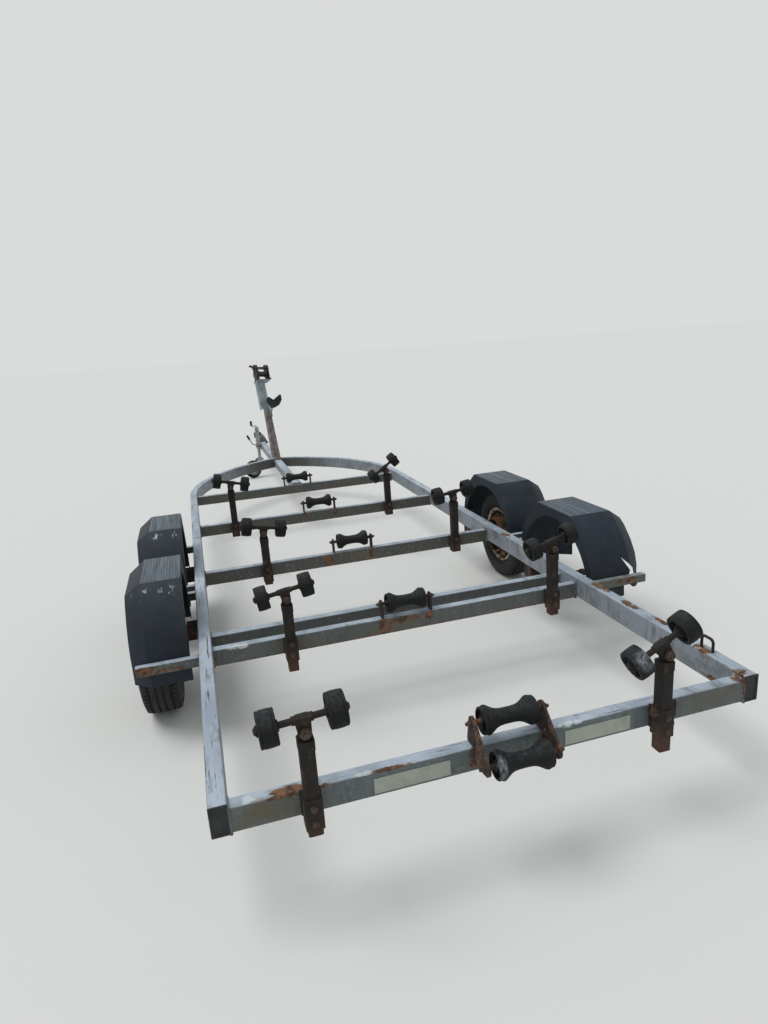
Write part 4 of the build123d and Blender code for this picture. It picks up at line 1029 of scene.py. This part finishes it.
def post_paint():
    """Blue-grey enamel at the bracket, gone to dark rust down the post."""
    made, tree, surface = material_named("winch_post_enamel")
    held = overlap(tree, along_axis(tree, "Z", 0.78, 0.86), patches(tree, 50, 0.34, 0.42))
    paint = layered(tree, "#7d888d", (patches(tree, 80, 0.4, 0.6), "#99a4a9"))
    rust = layered(tree, "#574f4b", (patches(tree, 40, 0.4, 0.62, shift=5.0), "#827974"))
    coated(tree, surface, layered(tree, rust, (held, paint)), Roughness=0.75)
    roughened(tree, surface, patches(tree, 5, 0.3, 0.7), 0.4)
    return made


refinished(post_paint(), "winch_post")
refinished(worn_rubber("bow_stop_rubber", "#16181a", "#33383b", 0.55), "bow_stop")

post_foot = Vector((centre_x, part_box("winch_post")[0].y + 0.055, drawbar_high.z))
post_lean, post_side_lean, post_turn = math.radians(-20), math.radians(-2.4), math.radians(20)
post_frame = (Matrix.Translation(post_foot) @ Matrix.Rotation(post_lean, 4, "X")
              @ Matrix.Rotation(post_side_lean, 4, "Y") @ Matrix.Rotation(post_turn, 4, "Z"))
winch_base = 0.801
winch_left, winch_right = -0.042, 0.080
shaft_y, shaft_height = 0.004, 0.075
winch_nuts = ((-0.036, 0.014), (0.036, 0.014), (-0.024, 0.128), (0.030, 0.154))
gear_tooth = cuboid((0.005, 0.0045, 0.006), (winch_left - 0.006, 0, 0.0495), 0.0007)
gear = round_the_axis(gear_tooth, 32)
gear.data.transform(Matrix.Translation((0, shaft_y, winch_base + shaft_height)))
winch_fittings = joined([gear] + [copy_of(nut_m10, standing((x, y, winch_base + height), (facing, 0, 0)))
                                  for x, facing in ((winch_left, -1), (winch_right, 1))
                                  for y, height in winch_nuts])
winch_fittings.data.transform(post_frame)
dressed(winch_fittings, "winch_fittings", fastener_steel, "root")
crank_y, crank_height = 0.030, 0.164
crank_knob = [post_frame @ Vector((x, crank_y, winch_base + crank_height)) for x in (-0.061, -0.0865)]
ribbed_grip("winch_crank_grip", *crank_knob, 0.0094)

foot_half = 0.041
foot_bolt_z = drawbar_high.z - 0.034
fastened("post_foot_bolts",
         [(nut_m16, (centre_x + side * foot_half, post_foot.y + y, foot_bolt_z), (side, 0, 0))
          for side in (-1, 1) for y in (-0.034, 0.038)])


# Jockey wheel
# A zinc-plated tube in a clamp on the drawbar's left side, with a crank on top, a telescopic leg
# and a swivelling fork with a small solid-tyred wheel on a webbed rim.

def dull_zinc():
    """Electroplated zinc, dulled: soft metallic grey with white bloom and freckles of rust."""
    made, tree, surface = material_named("dull_zinc_plate")
    rust = patches(tree, 26, 0.6, 0.66, shift=4.0)
    colour = layered(tree, "#8c8f90", (patches(tree, 35, 0.4, 0.65), "#a9acac"), (rust, rust_colour(tree)))
    coated(tree, surface, colour, rust, Metallic=(0.85, 0.0), Roughness=(0.5, 0.9))
    roughened(tree, surface, patches(tree, 4, 0.3, 0.7), 0.15)
    return made


zinc = dull_zinc()
refinished(zinc, "jockey_tube", "jockey_leg", "jockey_fork")

jockey_tyre_half = [(0.0130, 0.0658), (0.0225, 0.0690), (0.0248, 0.0725), (0.0250, 0.0860),
                    (0.0225, 0.0925), (0.0150, 0.0985), (0.0095, 0.0999), (0.0088, 0.0975),
                    (0.0068, 0.0975), (0.0060, 0.1000)]
jockey_rim_half = [(0.0250, 0.0087), (0.0250, 0.0235), (0.0135, 0.0275), (0.0105, 0.0330),
                   (0.0105, 0.0560), (0.0140, 0.0600), (0.0222, 0.0640), (0.0222, 0.0676),
                   (0.0130, 0.0656)]
jockey_tyre = turned(mirrored_profile(jockey_tyre_half), 64)
jockey_rim = webbed_wheel(jockey_rim_half, 64, (0.010, 0.004, 0.026), 0.0155, 0.0445)
for part in (jockey_tyre, jockey_rim):
    part.data.transform(standing(joint_place("jockey_wheel_spin"), joint_axis("jockey_wheel_spin")))
dressed(jockey_tyre, "jockey_tyre", roller_rubber, "jockey_wheel")
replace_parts(jockey_tyre, "jockey_wheel")
dressed(jockey_rim, "jockey_rim", zinc, "jockey_wheel")

leg_low, leg_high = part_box("jockey_leg")
jockey = (leg_low + leg_high) / 2
crank_foot = Vector((jockey.x - 0.055, jockey.y, 0.594))
ribbed_grip("jockey_crank_grip", crank_foot, crank_foot + Vector((0, 0, 0.0485)), 0.0123)
clamp_handle = [Vector((jockey.x + x, jockey.y, z)) for x, z in ((-0.0929, 0.4378), (-0.1160, 0.4841))]
ribbed_grip("jockey_clamp_grip", *clamp_handle, 0.0113)
clamp_half = 0.012
clamp_bolt_height = 0.359
fastened("jockey_clamp_bolts",
         [(nut_m10, (jockey.x + side * clamp_half, jockey.y + y, clamp_bolt_height), (side, 0, 0))
          for side in (-1, 1) for y in (-0.037, 0.037)])


# Small fittings
# A bent rod loop welded on the right rail for a lashing strap, and two blank pale reflective
# strips stuck to the rear crossmember.

def reflective_film():
    """Old retroreflective film: pale greenish white, dusty, slightly glossy."""
    made, tree, surface = material_named("faded_reflective_film")
    colour = layered(tree, "#a5aa9e", (patches(tree, 50, 0.4, 0.7), "#92978c"),
                     (patches(tree, 12, 0.64, 0.7, shift=2.0), "#7c7f76"))
    coated(tree, surface, colour, Roughness=0.4)
    return made


refinished(post_steel, "tie_loop")
refinished(reflective_film(), "blank_strips")
for pattern in (weld_puddle, bolt_m10, nut_m10, nut_m16):
    bpy.data.objects.remove(pattern)
